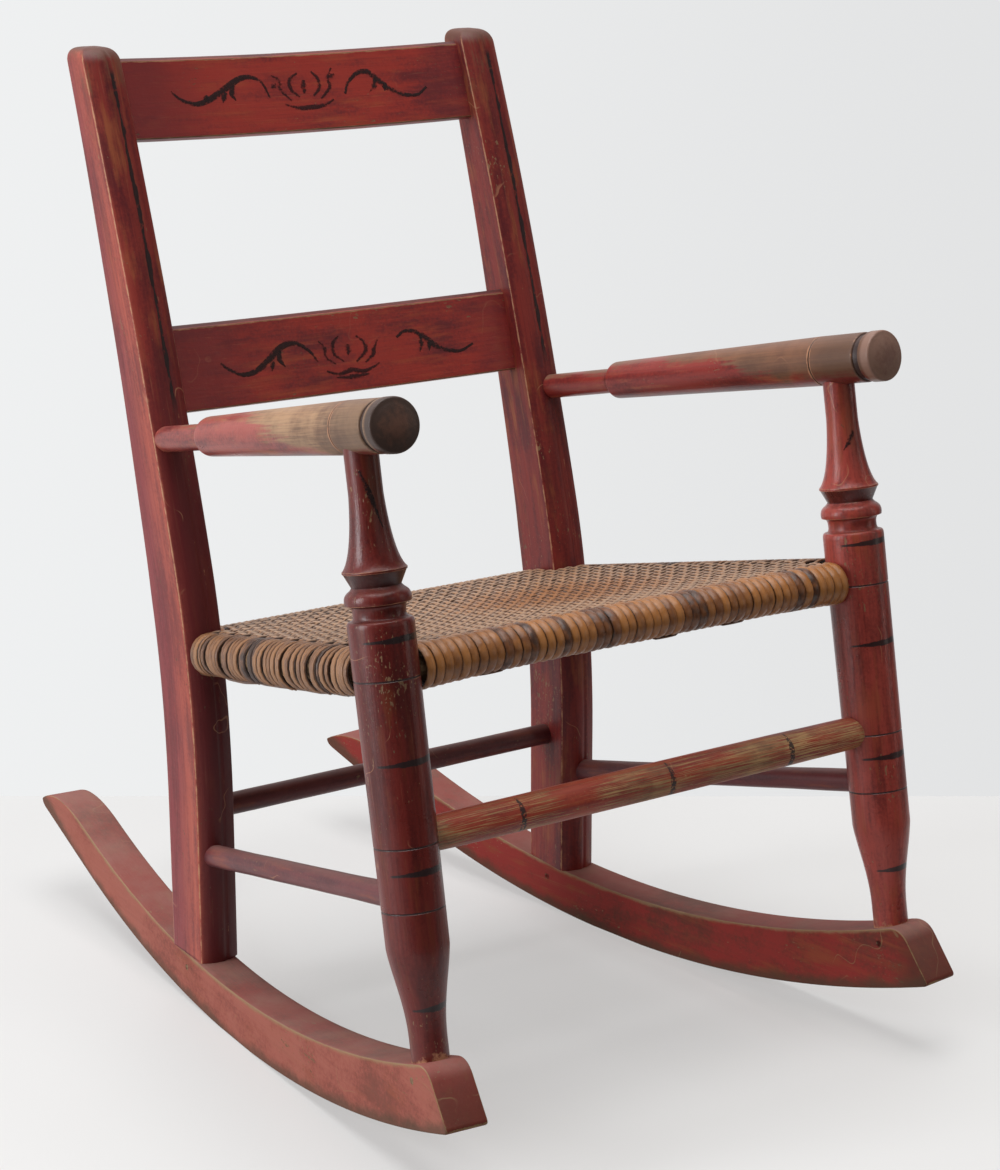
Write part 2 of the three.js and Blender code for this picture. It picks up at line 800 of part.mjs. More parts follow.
for (const [name, side] of Object.entries(sides)) {
  const runner = new Piece(board(rockerOutline(), rocker.thickness, rocker.edge), rockerFrame(side));
  const footTenon = (grow) => frontPostTenon(side, -frontPost.footTenonDepth, frontPost.ankle, grow);
  const armTenon = (grow) => frontPostTenon(side, postTop - arm.ringDiameter, postTop, grow);
  const footPegs = Object.fromEntries(
    Object.entries(feet).map(([end, y]) => [end, (grow) => footPegAt(side, y, grow)]));

  runner.cut(backFootTenon(side, gap), footTenon(gap), footPegs.front(gap), footPegs.back(gap));
  chair.add(runner.mesh(`rocker_${name}`, finishes.red));

  const back = new Piece(backPostBody(), backPostFrame(side))
    .cut(underRocker(side))
    .join(backFootTenon(side))
    .cut(
      footPegs.back(gap), slatBody(upperSlat, gap), slatBody(lowerSlat, gap), slatPegAt(side, gap),
      armBody(side, gap), sideStretcherAt(side, gap), backStretcherAt(gap), rearRailAt(gap),
      sideRailAt(side, gap));
  chair.add(back.mesh(`back_post_${name}`, finishes.red));

  const front = new Piece(
    turned(frontPostProfile(postTop), facets.turnedSegments), frontPostFrame(side))
    .cut(underRocker(side), armBody(side, gap))
    .join(footTenon(0), armTenon(0))
    .cut(
      footPegs.front(gap), sideStretcherAt(side, gap), frontStretcherAt(gap), frontRailAt(gap),
      sideRailAt(side, gap));
  chair.add(front.mesh(`front_post_${name}`, finishes.dark));

  chair.add(armBody(side).cut(armTenon(gap)).mesh(`arm_${name}`, finishes.worn));
  chair.add(sideStretcherAt(side).mesh(`side_stretcher_${name}`, finishes.dark));
  chair.add(sideRailAt(side).mesh(`seat_rail_${name}`, finishes.bare));
  chair.add(slatPegAt(side).mesh(`slat_peg_${name}`, finishes.bare));
  for (const end of Object.keys(feet)) {
    chair.add(footPegs[end](0).mesh(`foot_peg_${end}_${name}`, finishes.bare));
  }
}

chair.add(slatBody(upperSlat)
  .cut(slatPegAt(-1, gap), slatPegAt(1, gap))
  .mesh('slat_upper', finishes.red));
chair.add(slatBody(lowerSlat).mesh('slat_lower', finishes.red));
chair.add(frontStretcherAt().mesh('front_stretcher', finishes.worn));
chair.add(backStretcherAt().mesh('back_stretcher', finishes.dark));
chair.add(frontRailAt().mesh('seat_rail_front', finishes.bare));
chair.add(rearRailAt().mesh('seat_rail_back', finishes.bare));

const weave = seatPillow(0).cut(
  seatPillow(seat.wrap - 2 * gap), frontRailAt(gap), rearRailAt(gap));
for (const side of Object.values(sides)) {
  weave.cut(
    frontCorner(side), sideRailAt(side, gap), new Piece(backPostBody(gap), backPostFrame(side)));
}
chair.add(weave.mesh('woven_seat', finishes.seat));

// The rockers' ends differ a little, so the middle of the length is found from the chair itself
const box = new THREE.Box3().setFromObject(chair, true);
chair.position.y = -(box.min.y + box.max.y) / 2;

export default chair;
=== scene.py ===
"""A child's slat-back rocking chair with a woven seat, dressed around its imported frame."""

import logging
import random
from collections.abc import Callable, Iterable, Sequence
from dataclasses import dataclass, field
from enum import Enum
from math import atan, atan2, cos, pi, radians, sin, sqrt, tan, tau

import bmesh
import bpy
from mathutils import Matrix, Vector, noise


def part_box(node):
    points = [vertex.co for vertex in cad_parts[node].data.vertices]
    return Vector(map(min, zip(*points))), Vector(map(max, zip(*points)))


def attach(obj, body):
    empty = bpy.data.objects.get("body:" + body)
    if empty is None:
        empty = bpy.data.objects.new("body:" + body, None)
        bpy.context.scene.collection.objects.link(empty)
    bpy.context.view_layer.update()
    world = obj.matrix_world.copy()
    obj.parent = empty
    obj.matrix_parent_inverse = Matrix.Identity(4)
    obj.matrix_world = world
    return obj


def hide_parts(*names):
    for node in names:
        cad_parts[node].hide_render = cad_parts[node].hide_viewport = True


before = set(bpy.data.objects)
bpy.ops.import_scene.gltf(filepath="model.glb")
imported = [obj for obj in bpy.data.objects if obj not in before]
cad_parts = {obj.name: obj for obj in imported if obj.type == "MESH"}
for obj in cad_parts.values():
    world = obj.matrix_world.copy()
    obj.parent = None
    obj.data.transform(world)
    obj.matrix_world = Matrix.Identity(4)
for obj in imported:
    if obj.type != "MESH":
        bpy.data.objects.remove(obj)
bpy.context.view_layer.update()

BODY = "root"
UP = Vector((0.0, 0.0, 1.0))
WELD = 1e-6
log = logging.getLogger("rocking_chair")

Colour = tuple[float, float, float]
Point = tuple[float, float]
Profile = list[Point]
Step = tuple[Vector, Vector, float]
Socket = bpy.types.NodeSocket
Material = bpy.types.Material


class Side(Enum):
    """The sitter's two sides, by the sign of X."""

    RIGHT = -1
    LEFT = 1

    def node(self, stem: str) -> str:
        """Returns the name of this side's CAD node, from its stem."""
        return f"{stem}_{self.name.lower()}"


# Plain geometry


def lerp(low: float, high: float, share: float) -> float:
    """Returns the value that lies a share of the way from low to high."""
    return low + (high - low) * share


def spread(low: float, high: float, count: int) -> list[float]:
    """Returns count + 1 evenly spaced values from low to high."""
    return [lerp(low, high, i / count) for i in range(count + 1)]


def smooth(share: float) -> float:
    """Returns a share eased at both ends."""
    share = min(max(share, 0.0), 1.0)
    return share * share * (3 - 2 * share)


def curve(start: Sequence[float], corner: Sequence[float], end: Sequence[float], count: int = 6) -> Profile:
    """Rounds a corner of a profile.

    Args:
        start: The point where the curve leaves its first line.
        corner: The point where the two lines would meet.
        end: The point where the curve joins its second line.
        count: The number of steps.

    Returns:
        The points of the curve, both ends among them.
    """
    a, b, c = Vector(start), Vector(corner), Vector(end)
    points = [a.lerp(b, t).lerp(b.lerp(c, t), t) for t in spread(0.0, 1.0, count)]
    return [(p.x, p.y) for p in points]


def swept(start: Sequence[float], first: Sequence[float], second: Sequence[float], end: Sequence[float],
          count: int = 12) -> Profile:
    """Draws a curve with two handles.

    Args:
        start: Its first point.
        first: The share of the way up, and out, of the first handle.
        second: The same for the second handle.
        end: Its last point.
        count: The number of steps.

    Returns:
        The points of the curve, both ends among them.
    """
    handles = [
        Vector((lerp(start[0], end[0], out), lerp(start[1], end[1], up))) for up, out in (first, second)
    ]
    a, b, c, d = Vector(start), handles[0], handles[1], Vector(end)
    points = []
    for t in spread(0.0, 1.0, count):
        ab, bc, cd = a.lerp(b, t), b.lerp(c, t), c.lerp(d, t)
        p = ab.lerp(bc, t).lerp(bc.lerp(cd, t), t)
        points.append((p.x, p.y))
    return points


def along(start: Vector, end: Vector) -> Matrix:
    """Returns the frame that stands at start with its Z towards end."""
    turn = UP.rotation_difference((end - start).normalized())
    return Matrix.Translation(start) @ turn.to_matrix().to_4x4()


# Shader nodes


class Wire:
    """A value that comes out of a node, which arithmetic sends on through further nodes."""

    def __init__(self, graph: "Graph", socket: Socket) -> None:
        """Notes the nodes that it belongs to and where it comes out."""
        self.graph = graph
        self.socket = socket

    def __add__(self, other: object) -> "Wire":
        """Returns the sum of two values."""
        return self.graph.math("ADD", self, other)

    def __sub__(self, other: object) -> "Wire":
        """Returns what is left after another value is taken away."""
        return self.graph.math("SUBTRACT", self, other)

    def __rsub__(self, other: object) -> "Wire":
        """Returns what is left of another value after this one is taken away."""
        return self.graph.math("SUBTRACT", other, self)

    def __mul__(self, other: object) -> "Wire":
        """Returns the product of two values."""
        return self.graph.math("MULTIPLY", self, other)

    def __truediv__(self, other: object) -> "Wire":
        """Returns this value divided by another."""
        return self.graph.math("DIVIDE", self, other)

    def __abs__(self) -> "Wire":
        """Returns the value without its sign."""
        return self.graph.math("ABSOLUTE", self)

    def top(self, other: object) -> "Wire":
        """Returns the greater of two values."""
        return self.graph.math("MAXIMUM", self, other)

    def ramp(self, low: float, high: float, to_low: float = 0.0, to_high: float = 1.0) -> "Wire":
        """Returns the value eased from one range to another, and held at its ends."""
        inputs = {0: self, 1: low, 2: high, 3: to_low, 4: to_high}
        return self.graph.out("MapRange", inputs, interpolation_type="SMOOTHSTEP")


class Graph:
    """A node tree under work, with short ways to add and join its nodes."""

    MEASURES = ("DOT_PRODUCT", "DISTANCE", "LENGTH")

    def __init__(self, tree: bpy.types.NodeTree) -> None:
        """Takes the tree to work on."""
        self.tree = tree

    def feed(self, node: bpy.types.Node, inputs: dict) -> None:
        """Feeds some of a node's inputs.

        Args:
            node: The node.
            inputs: A wire, a number, or a colour of three numbers for each, by name or place.
        """
        for name, value in inputs.items():
            socket = node.inputs[name]
            if isinstance(value, Wire):
                self.tree.links.new(value.socket, socket)
            elif socket.type == "RGBA":
                socket.default_value = (*value, 1.0)
            else:
                socket.default_value = value

    def node(self, kind: str, inputs: dict | None = None, **settings: object) -> bpy.types.Node:
        """Adds a node.

        Args:
            kind: Its type, without the words ShaderNode.
            inputs: What feeds its inputs, by name or place.
            settings: Its own settings.

        Returns:
            The node.
        """
        made = self.tree.nodes.new(f"ShaderNode{kind}")
        for name, value in settings.items():
            setattr(made, name, value)
        self.feed(made, inputs or {})
        return made

    def out(self, kind: str, inputs: dict | None = None, output: int | str = 0, **settings: object) -> Wire:
        """Adds a node, as the method above does, and returns one of its outputs."""
        return Wire(self, self.node(kind, inputs, **settings).outputs[output])

    def math(self, operation: str, *terms: object) -> Wire:
        """Returns the result of one step of arithmetic on its terms."""
        return self.out("Math", dict(enumerate(terms)), operation=operation)

    def vector(self, operation: str, *terms: object) -> Wire:
        """Returns the result of one step on vectors: a number where it measures, or else a vector."""
        output = "Value" if operation in self.MEASURES else 0
        return self.out("VectorMath", dict(enumerate(terms)), output, operation=operation)

    def mix(self, factor: object, low: object, high: object) -> Wire:
        """Returns a colour mixed from two by a factor."""
        return self.out("Mix", {0: factor, 6: low, 7: high}, 2, data_type="RGBA")

    def over(self, colour: object, *layers: tuple[object, object]) -> Wire:
        """Lays colours over one another, each of them through the mask before it."""
        for mask, layer in layers:
            colour = self.mix(mask, colour, layer)
        return colour

    def noise(self, vector: object, scale: object, detail: float = 3.0, rough: float = 0.6) -> Wire:
        """Returns the value of a noise over a vector."""
        return self.out("TexNoise", {"Vector": vector, "Scale": scale, "Detail": detail, "Roughness": rough})

    def split(self, vector: Wire) -> list[Wire]:
        """Returns the three parts of a vector."""
        parts = self.node("SeparateXYZ", {0: vector})
        return [Wire(self, socket) for socket in parts.outputs]

    def local(self) -> Wire:
        """Returns the place in the piece's own frame, whose Z runs along the grain."""
        return self.out("Attribute", output="Vector", attribute_name="local")

    def read(self, name: str) -> Wire:
        """Returns one of the marks that the meshes carry."""
        return self.out("Attribute", output="Fac", attribute_name=name)

    def normal(self) -> Wire:
        """Returns the way that the surface faces."""
        return self.out("NewGeometry", output="Normal")

    def group(self, tree: bpy.types.NodeTree, **inputs: object) -> Wire:
        """Places a shader group, with its inputs by their names in small letters."""
        return self.out("Group", {name.capitalize(): value for name, value in inputs.items()}, node_tree=tree)

    def close(self, value: Wire) -> bpy.types.NodeTree:
        """Puts a value out of a group and returns its tree."""
        self.feed(self.tree.nodes.new("NodeGroupOutput"), {"Value": value})
        return self.tree


class Effects:
    """The shader groups that several finishes share, each built once."""

    def __init__(self) -> None:
        """Builds every group."""
        self.fibre = self.build_fibre()
        self.rubbed = self.build_rubbed()
        self.band = self.build_band()
        self.flecks = self.build_flecks()
        self.scratches = self.build_scratches()

    @staticmethod
    def start(name: str, inputs: dict[str, float | None]) -> tuple[Graph, list[Wire]]:
        """Starts a group with one value as its output.

        Args:
            name: The group's name.
            inputs: The default of each input, or None for a vector.

        Returns:
            The graph, and what its inputs put out, in their order.
        """
        tree = bpy.data.node_groups.new(name, "ShaderNodeTree")
        for label, default in inputs.items():
            kind = "NodeSocketVector" if default is None else "NodeSocketFloat"
            socket = tree.interface.new_socket(name=label, in_out="INPUT", socket_type=kind)
            if default is not None:
                socket.default_value = default
        tree.interface.new_socket(name="Value", in_out="OUTPUT", socket_type="NodeSocketFloat")
        source = tree.nodes.new("NodeGroupInput")
        graph = Graph(tree)
        return graph, [Wire(graph, source.outputs[label]) for label in inputs]

    def build_fibre(self) -> bpy.types.NodeTree:
        """Returns fine lines that run along a piece, as brush marks and wood grain do."""
        graph, (place, across, along_it) = self.start(
            "fibre_lines", {"Place": None, "Across": 900.0, "Along": 20.0})
        x, y, z = graph.split(place)
        drawn = graph.out("CombineXYZ", {0: x * across, 1: y * across, 2: z * along_it})
        return graph.close(graph.noise(drawn, 1.0, 4.0))

    def build_rubbed(self) -> bpy.types.NodeTree:
        """Returns a mask of edges rubbed through, broken up by noise."""
        inputs = {"Place": None, "Edge": 0.0, "Reach": 0.6, "Scale": 130.0}
        graph, (place, edge, reach, scale) = self.start("rubbed_edges", inputs)
        worn = edge + (graph.noise(place, scale, 5.0, 0.65) * 1.5 - 0.75) + reach
        return graph.close(worn.ramp(1.0, 1.25))

    def build_band(self) -> bpy.types.NodeTree:
        """Returns a mask of one band across a piece, painted by brush and wider where the brush set down."""
        inputs = {"Place": None, "Centre": 0.0, "Half": 0.0013, "Tilt": 0.0, "Gap": 0.3, "Turn": 0.0}
        graph, (place, middle, half, tilt, gap, start) = self.start("brush_band", inputs)
        x, y, z = graph.split(place)
        turn = graph.math("ARCTAN2", y, x) - start
        centre = middle + graph.math("SINE", turn) * tilt
        width = half * (graph.noise(place, 240.0) * 1.2 + 0.45) * turn.ramp(-1.35, -0.3, 0.35, 1.05)
        inside = abs(z - centre) / width
        held = (graph.noise(place, 600.0) - gap).ramp(0.0, 0.1)
        front = graph.math("COSINE", turn).ramp(0.05, 0.22)
        return graph.close(inside.ramp(1.2, 0.8) * held * front)

    def build_flecks(self) -> bpy.types.NodeTree:
        """Returns a mask of small chips, most of them in patches and drawn out along the piece."""
        graph, (place, scale, limit) = self.start("flecks", {"Place": None, "Scale": 330.0, "Limit": 0.7})
        chips = graph.noise(graph.vector("MULTIPLY", place, (1.0, 1.0, 0.45)), scale, 2.0, 0.5)
        where = graph.noise(place, 20.0, 2.0, 0.5)
        return graph.close((chips + (where - 0.5) * 0.45 - limit).ramp(0.0, 0.03))

    def build_scratches(self) -> bpy.types.NodeTree:
        """Returns a mask of a few hair-thin scratches that wander over a piece."""
        graph, (place, scale) = self.start("scratches", {"Place": None, "Scale": 15.0})
        line = abs(graph.noise(place, scale, 2.5, 0.5) - 0.5).ramp(0.0032, 0.001)
        return graph.close(line * graph.noise(place, 23.0, 2.0, 0.5).ramp(0.56, 0.62))


class Coat(Graph):
    """The nodes of one material, with the shared effects at hand."""

    def __init__(self, name: str, effects: Effects | None = None) -> None:
        """Starts the material."""
        self.made = bpy.data.materials.new(name)
        self.made.use_nodes = True
        super().__init__(self.made.node_tree)
        self.effects = effects

    def fibre(self, place: Wire, across: float, along_it: float) -> Wire:
        """Returns the noise of fine lines along a piece."""
        return self.group(self.effects.fibre, place=place, across=across, along=along_it)

    def bump(self, height: Wire, strength: float, distance: float = 0.0006) -> Wire:
        """Returns the normal of a slightly uneven surface."""
        return self.out("Bump", {"Strength": strength, "Distance": distance, "Height": height})

    def finish(self, inputs: dict) -> Material:
        """Feeds the shader and returns the material."""
        self.feed(self.tree.nodes["Principled BSDF"], inputs)
        return self.made


@dataclass(frozen=True)
class Band:
    """A black band that a brush drew round part of a piece, from one side round the front."""

    centre: float
    half: float = 0.0017
    tilt: float = 0.0006
    gap: float = 0.2
    turn: float = radians(-75)


@dataclass(frozen=True)
class Ring:
    """A ring of dark grime round a turned piece."""

    centre: float
    half: float = 0.0004
    strength: float = 0.8


@dataclass(frozen=True)
class Bare:
    """A stretch of a piece whose paint has gone: all of it at full, none at none, along the piece."""

    full: float
    none: float
    strength: float = 0.9
    upward: float = 0.25


@dataclass(frozen=True)
class Gloom:
    """A stretch of a piece painted darker: most at full, not at all at none, along the piece."""

    full: float
    none: float
    strength: float = 0.7


@dataclass(frozen=True)
class Soil:
    """Wear or dirt along a curved edge of a rocker, whose curve is part of a circle."""

    radius: float
    middle: float
    height: float
    reach: float
    colour: Colour
    strength: float = 0.75


@dataclass(frozen=True)
class Stripe:
    """A black line down the front of a post."""

    x: float
    half: float
    low: float
    high: float


@dataclass(frozen=True)
class Cap:
    """The end of an arm, rubbed and stained by hands, with other wood at its heart."""

    depth: float
    colour: Colour
    heart: Colour


@dataclass(frozen=True)
class Ground:
    """What every layer of a paint starts from: the place, and the noises of its patches and brush marks."""

    place: Wire
    blotch: Wire
    fibre: Wire


@dataclass(frozen=True)
class AgedPaint:
    """Old oxide-red paint, paler outside with fading, dust and painted light, rubbed along its edges, over
    wood that shows olive-tan.
    """

    name: str
    paint: Colour = (0.28, 0.03, 0.024)
    deep: Colour = (0.12, 0.016, 0.017)
    warm: Colour = (0.26, 0.06, 0.026)
    # faded and fade: the paler colour of the outward faces, faded dusty paint and painted light of the side
    # lamp together
    faded: Colour = (0.4, 0.078, 0.064)
    rear: Colour | None = None
    worn: Colour = (0.5, 0.24, 0.13)
    wood: Colour = (0.3, 0.175, 0.09)
    stain: Colour = (0.105, 0.06, 0.036)
    black: Colour = (0.02, 0.014, 0.015)
    # The near-black of the painted shade in hollows
    nook: Colour = (0.03, 0.008, 0.008)
    dust: Colour = (0.38, 0.225, 0.19)
    outward: Colour = (0.0, 0.0, 0.0)
    fade: float = 0.0
    grain: float = 1.0
    reach: float = 0.32
    flecks: float = 0.745
    streaks: float = 0.0
    dusting: float = 0.1
    scratches: float = 0.5
    gloss: float = 0.4
    sheen: float = 0.35
    bands: tuple[Band, ...] = ()
    rings: tuple[Ring, ...] = ()
    bare: tuple[Bare, ...] = ()
    glooms: tuple[Gloom, ...] = ()
    soils: tuple[Soil, ...] = ()
    stripes: tuple[Stripe, ...] = ()
    cap: Cap | None = None
    seed: float = 0.0

    def gloom(self, coat: Coat, ragged: Wire) -> Wire | float:
        """Finds where the piece is painted darker along its length.

        Args:
            coat: The material's nodes.
            ragged: A noise that breaks the change up.

        Returns:
            The mask, or zero where nothing has.
        """
        dark: Wire | float = 0.0
        for zone in self.glooms:
            run = coat.split(coat.local())[2]
            part = run.ramp(zone.full, zone.none, 1.0, 0.0) + (ragged - 0.5) * 0.9
            dark = coat.math("MAXIMUM", dark, part.ramp(0.1, 0.9, 0.0, zone.strength))
        return dark

    def body(self, coat: Coat, ground: Ground) -> Wire:
        """Mixes the paint's own colour, with the painted light on its outer faces, before any wear.

        Args:
            coat: The material's nodes.
            ground: The place and its noises.

        Returns:
            The colour.
        """
        cloud = coat.noise(ground.place, 13.0, 5.0, 0.62)
        drawn = 0.5 * self.grain
        shade = coat.fibre(ground.place, 130.0, 16.0) * drawn + cloud * (0.8 - drawn)
        shade = shade + coat.noise(ground.place, 480.0) * 0.2
        apart = coat.vector("ADD", ground.place, (3.7, 1.3, 2.1))
        patch = ground.blotch * 0.4 + coat.fibre(apart, 170.0, 22.0) * 0.6
        colour = coat.over(self.paint, (shade.ramp(0.44, 0.62), self.deep),
                           (patch.ramp(0.5, 0.66, 0.0, 0.75), self.warm),
                           (self.gloom(coat, cloud), self.deep))
        # Outward faces are painted paler, for faded, dusty paint and for the painted light of the side lamp;
        # further back on them it turns purple-maroon
        if self.fade > 0:
            facing = coat.vector("DOT_PRODUCT", coat.normal(), self.outward)
            shown = facing.ramp(0.3, 0.85, 0.0, self.fade) * shade.ramp(0.6, 0.44, 0.4, 1.0)
            faded = self.faded
            if self.rear:
                depth = coat.split(coat.local())[1] + cloud * 0.016
                faded = coat.mix(depth.ramp(0.012, 0.036), self.faded, self.rear)
            colour = coat.mix(shown, colour, faded)
        return coat.over(colour, (ground.fibre.ramp(0.46, 0.72, 0.0, 0.38 * self.grain), self.deep),
                         (ground.fibre.ramp(0.4, 0.24, 0.0, 0.16), self.worn))

    def soil(self, coat: Coat, colour: Wire) -> Wire:
        """Lays the wear and dirt of a rocker's curved edges over a colour.

        Args:
            coat: The material's nodes.
            colour: The colour below.

        Returns:
            The colour with them.
        """
        flat = coat.vector("MULTIPLY", coat.local(), (0.0, 1.0, 1.0))
        ragged = coat.noise(coat.local(), 55.0, 5.0, 0.65) * 1.6 - 0.8
        sideways = abs(coat.split(coat.normal())[0]).ramp(0.3, 0.8)
        for part in self.soils:
            away = abs(coat.vector("DISTANCE", flat, (0.0, part.height, part.middle)) - part.radius)
            dirty = (away / part.reach + ragged).ramp(1.0, 0.1, 0.0, part.strength)
            colour = coat.mix(dirty * sideways, colour, part.colour)
        return colour

    def loss(self, coat: Coat, ground: Ground) -> Wire:
        """Finds where the paint has gone.

        Args:
            coat: The material's nodes.
            ground: The place and its noises.

        Returns:
            The mask.
        """
        run = coat.split(coat.local())[2]
        _, front, up = coat.split(coat.normal())
        coarse = coat.group(coat.effects.flecks, place=ground.place, limit=self.flecks)
        fine = coat.group(coat.effects.flecks, place=ground.place, scale=900.0, limit=self.flecks - 0.01)
        gone = coarse.top(fine) * 0.8
        for zone in self.bare:
            ragged = ground.fibre * 0.8 + ground.blotch * 1.6 - 1.2
            broken = run.ramp(zone.full, zone.none, 1.0, 0.0) + ragged + up * zone.upward
            gone = gone.top(broken.ramp(0.38, 0.72, 0.0, zone.strength))
        if self.streaks > 0:
            patch = (coat.noise(ground.place, 15.0, 2.0, 0.5) - 0.5) * 0.75
            streak = coat.fibre(ground.place, 2000.0, 30.0) + patch
            over = streak.ramp(0.66 - self.streaks, 0.74 - self.streaks, 0.0, 0.92)
            gone = gone.top(over * front.ramp(0.25, -0.45))
        return gone

    def marks(self, coat: Coat, colour: Wire) -> Wire:
        """Lays the painted bands and lines, the grimy rings and the arm's end over a colour.

        Args:
            coat: The material's nodes.
            colour: The colour below.

        Returns:
            The colour with its marks.
        """
        still = coat.local()
        x, y, run = coat.split(still)
        for band in self.bands:
            drawn = coat.group(coat.effects.band, place=still, **vars(band))
            colour = coat.mix(drawn * 0.93, colour, self.black)
        for ring in self.rings:
            dark = abs(run - ring.centre).ramp(1.8 * ring.half, 0.6 * ring.half, 0.0, ring.strength)
            colour = coat.mix(dark, colour, self.black)
        for stripe in self.stripes:
            drift = (coat.noise(still, 26.0) - 0.5) * 0.0016
            width = coat.noise(still, 75.0).ramp(0.3, 0.7, 0.35 * stripe.half, 1.25 * stripe.half)
            inside = (abs(x - (drift + stripe.x)) / width).ramp(1.25, 0.8)
            ends = run.ramp(stripe.low, stripe.low + 0.02) * run.ramp(stripe.high, stripe.high - 0.006)
            held = coat.noise(still, 210.0).ramp(0.3, 0.42, 0.25, 0.95)
            colour = coat.mix(inside * y.ramp(0.0, -0.001) * (ends * held), colour, self.black)
        if self.cap:
            out = coat.vector("LENGTH", coat.vector("MULTIPLY", still, (1.0, 1.0, 0.0)))
            heart = (coat.noise(still, 260.0, 4.0) * 1.6 - out * 75.0).ramp(-0.2, 0.8)
            end = coat.mix(heart, self.cap.colour, self.cap.heart)
            colour = coat.mix(run.ramp(self.cap.depth, 0.75 * self.cap.depth), colour, end)
        return colour

    def material(self, effects: Effects) -> Material:
        """Builds the paint.

        Args:
            effects: The shared shader groups.

        Returns:
            The material.
        """
        coat = Coat(self.name, effects)
        place = coat.vector("ADD", coat.local(), (self.seed,) * 3)
        edge = coat.read("rub")
        fibre = coat.fibre(place, 620.0, 14.0)
        blotch = coat.noise(place, 24.0, 5.0, 0.62)
        ground = Ground(place, blotch, fibre)
        gone = self.loss(coat, ground)
        tone = coat.fibre(place, 900.0, 24.0) * 0.45 + blotch * 0.85
        timber = coat.over(self.wood, (tone.ramp(0.52, 0.86), self.stain),
                           (self.gloom(coat, blotch), self.stain))
        rubbed = coat.group(effects.rubbed, place=place, edge=edge, reach=self.reach)
        core = coat.group(effects.rubbed, place=place, edge=edge, reach=self.reach - 0.28, scale=70.0)
        colour = coat.over(self.body(coat, ground), (gone, timber), (rubbed * 0.85, self.worn),
                           (core * 0.8, timber))
        if self.soils:
            colour = self.soil(coat, colour)
        scored = coat.group(effects.scratches, place=place) * self.scratches
        colour = self.marks(coat, coat.mix(scored, colour, self.worn))
        settled = coat.split(coat.normal())[2].ramp(0.45, 0.98) * blotch.ramp(0.3, 0.7, 0.5, 1.0)
        # Hollows are painted near-black: painted shade
        colour = coat.over(colour, (coat.read("nook").ramp(0.2, 1.0, 0.0, 0.72), self.nook),
                           (settled * self.dusting, self.dust))
        rough = blotch * 0.24 + (self.gloss - 0.1) + gone.top(rubbed) * 0.14 + settled * (self.dusting * 0.4)
        height = fibre * 0.7 - gone * 0.35 + coat.noise(place, 60.0, 6.0, 0.68) * 1.3
        return coat.finish({"Base Color": colour, "Roughness": rough, "Specular IOR Level": self.sheen,
                            "Normal": coat.bump(height, 0.4)})


@dataclass(frozen=True)
class BrushBlack:
    """Thin black brushwork, worn through in places so that the red below shows."""

    name: str
    colour: Colour = (0.03, 0.014, 0.015)
    hold: float = 0.28
    cover: float = 0.84

    def material(self, effects: Effects) -> Material:
        """Builds the brushwork, whose strength follows how well the paint has held."""
        coat = Coat(self.name, effects)
        fine = coat.noise(coat.local(), 620.0, 4.0, 0.65)
        held = fine * 0.6 + coat.noise(coat.local(), 90.0, 2.0, 0.5) * 0.4 - coat.read("rub") * 0.16
        return coat.finish({"Base Color": self.colour, "Specular IOR Level": 0.3,
                            "Alpha": held.ramp(self.hold, self.hold + 0.18, 0.0, self.cover),
                            "Roughness": fine.ramp(0.3, 0.7, 0.35, 0.6)})


@dataclass(frozen=True)
class BareWood:
    """Bare aged wood, matt, as on rails and pegs."""

    name: str = "bare_wood"
    light: Colour = (0.3, 0.18, 0.09)
    dark: Colour = (0.12, 0.06, 0.03)

    def material(self, effects: Effects) -> Material:
        """Builds the wood, on object coordinates, from the shared groups."""
        coat = Coat(self.name, effects)
        grain = coat.fibre(coat.out("TexCoord", output="Object"), 400.0, 400.0)
        return coat.finish({"Base Color": coat.mix(grain.ramp(0.3, 0.7), self.light, self.dark),
                            "Roughness": 0.7, "Normal": coat.bump(grain, 0.3, 0.0004)})


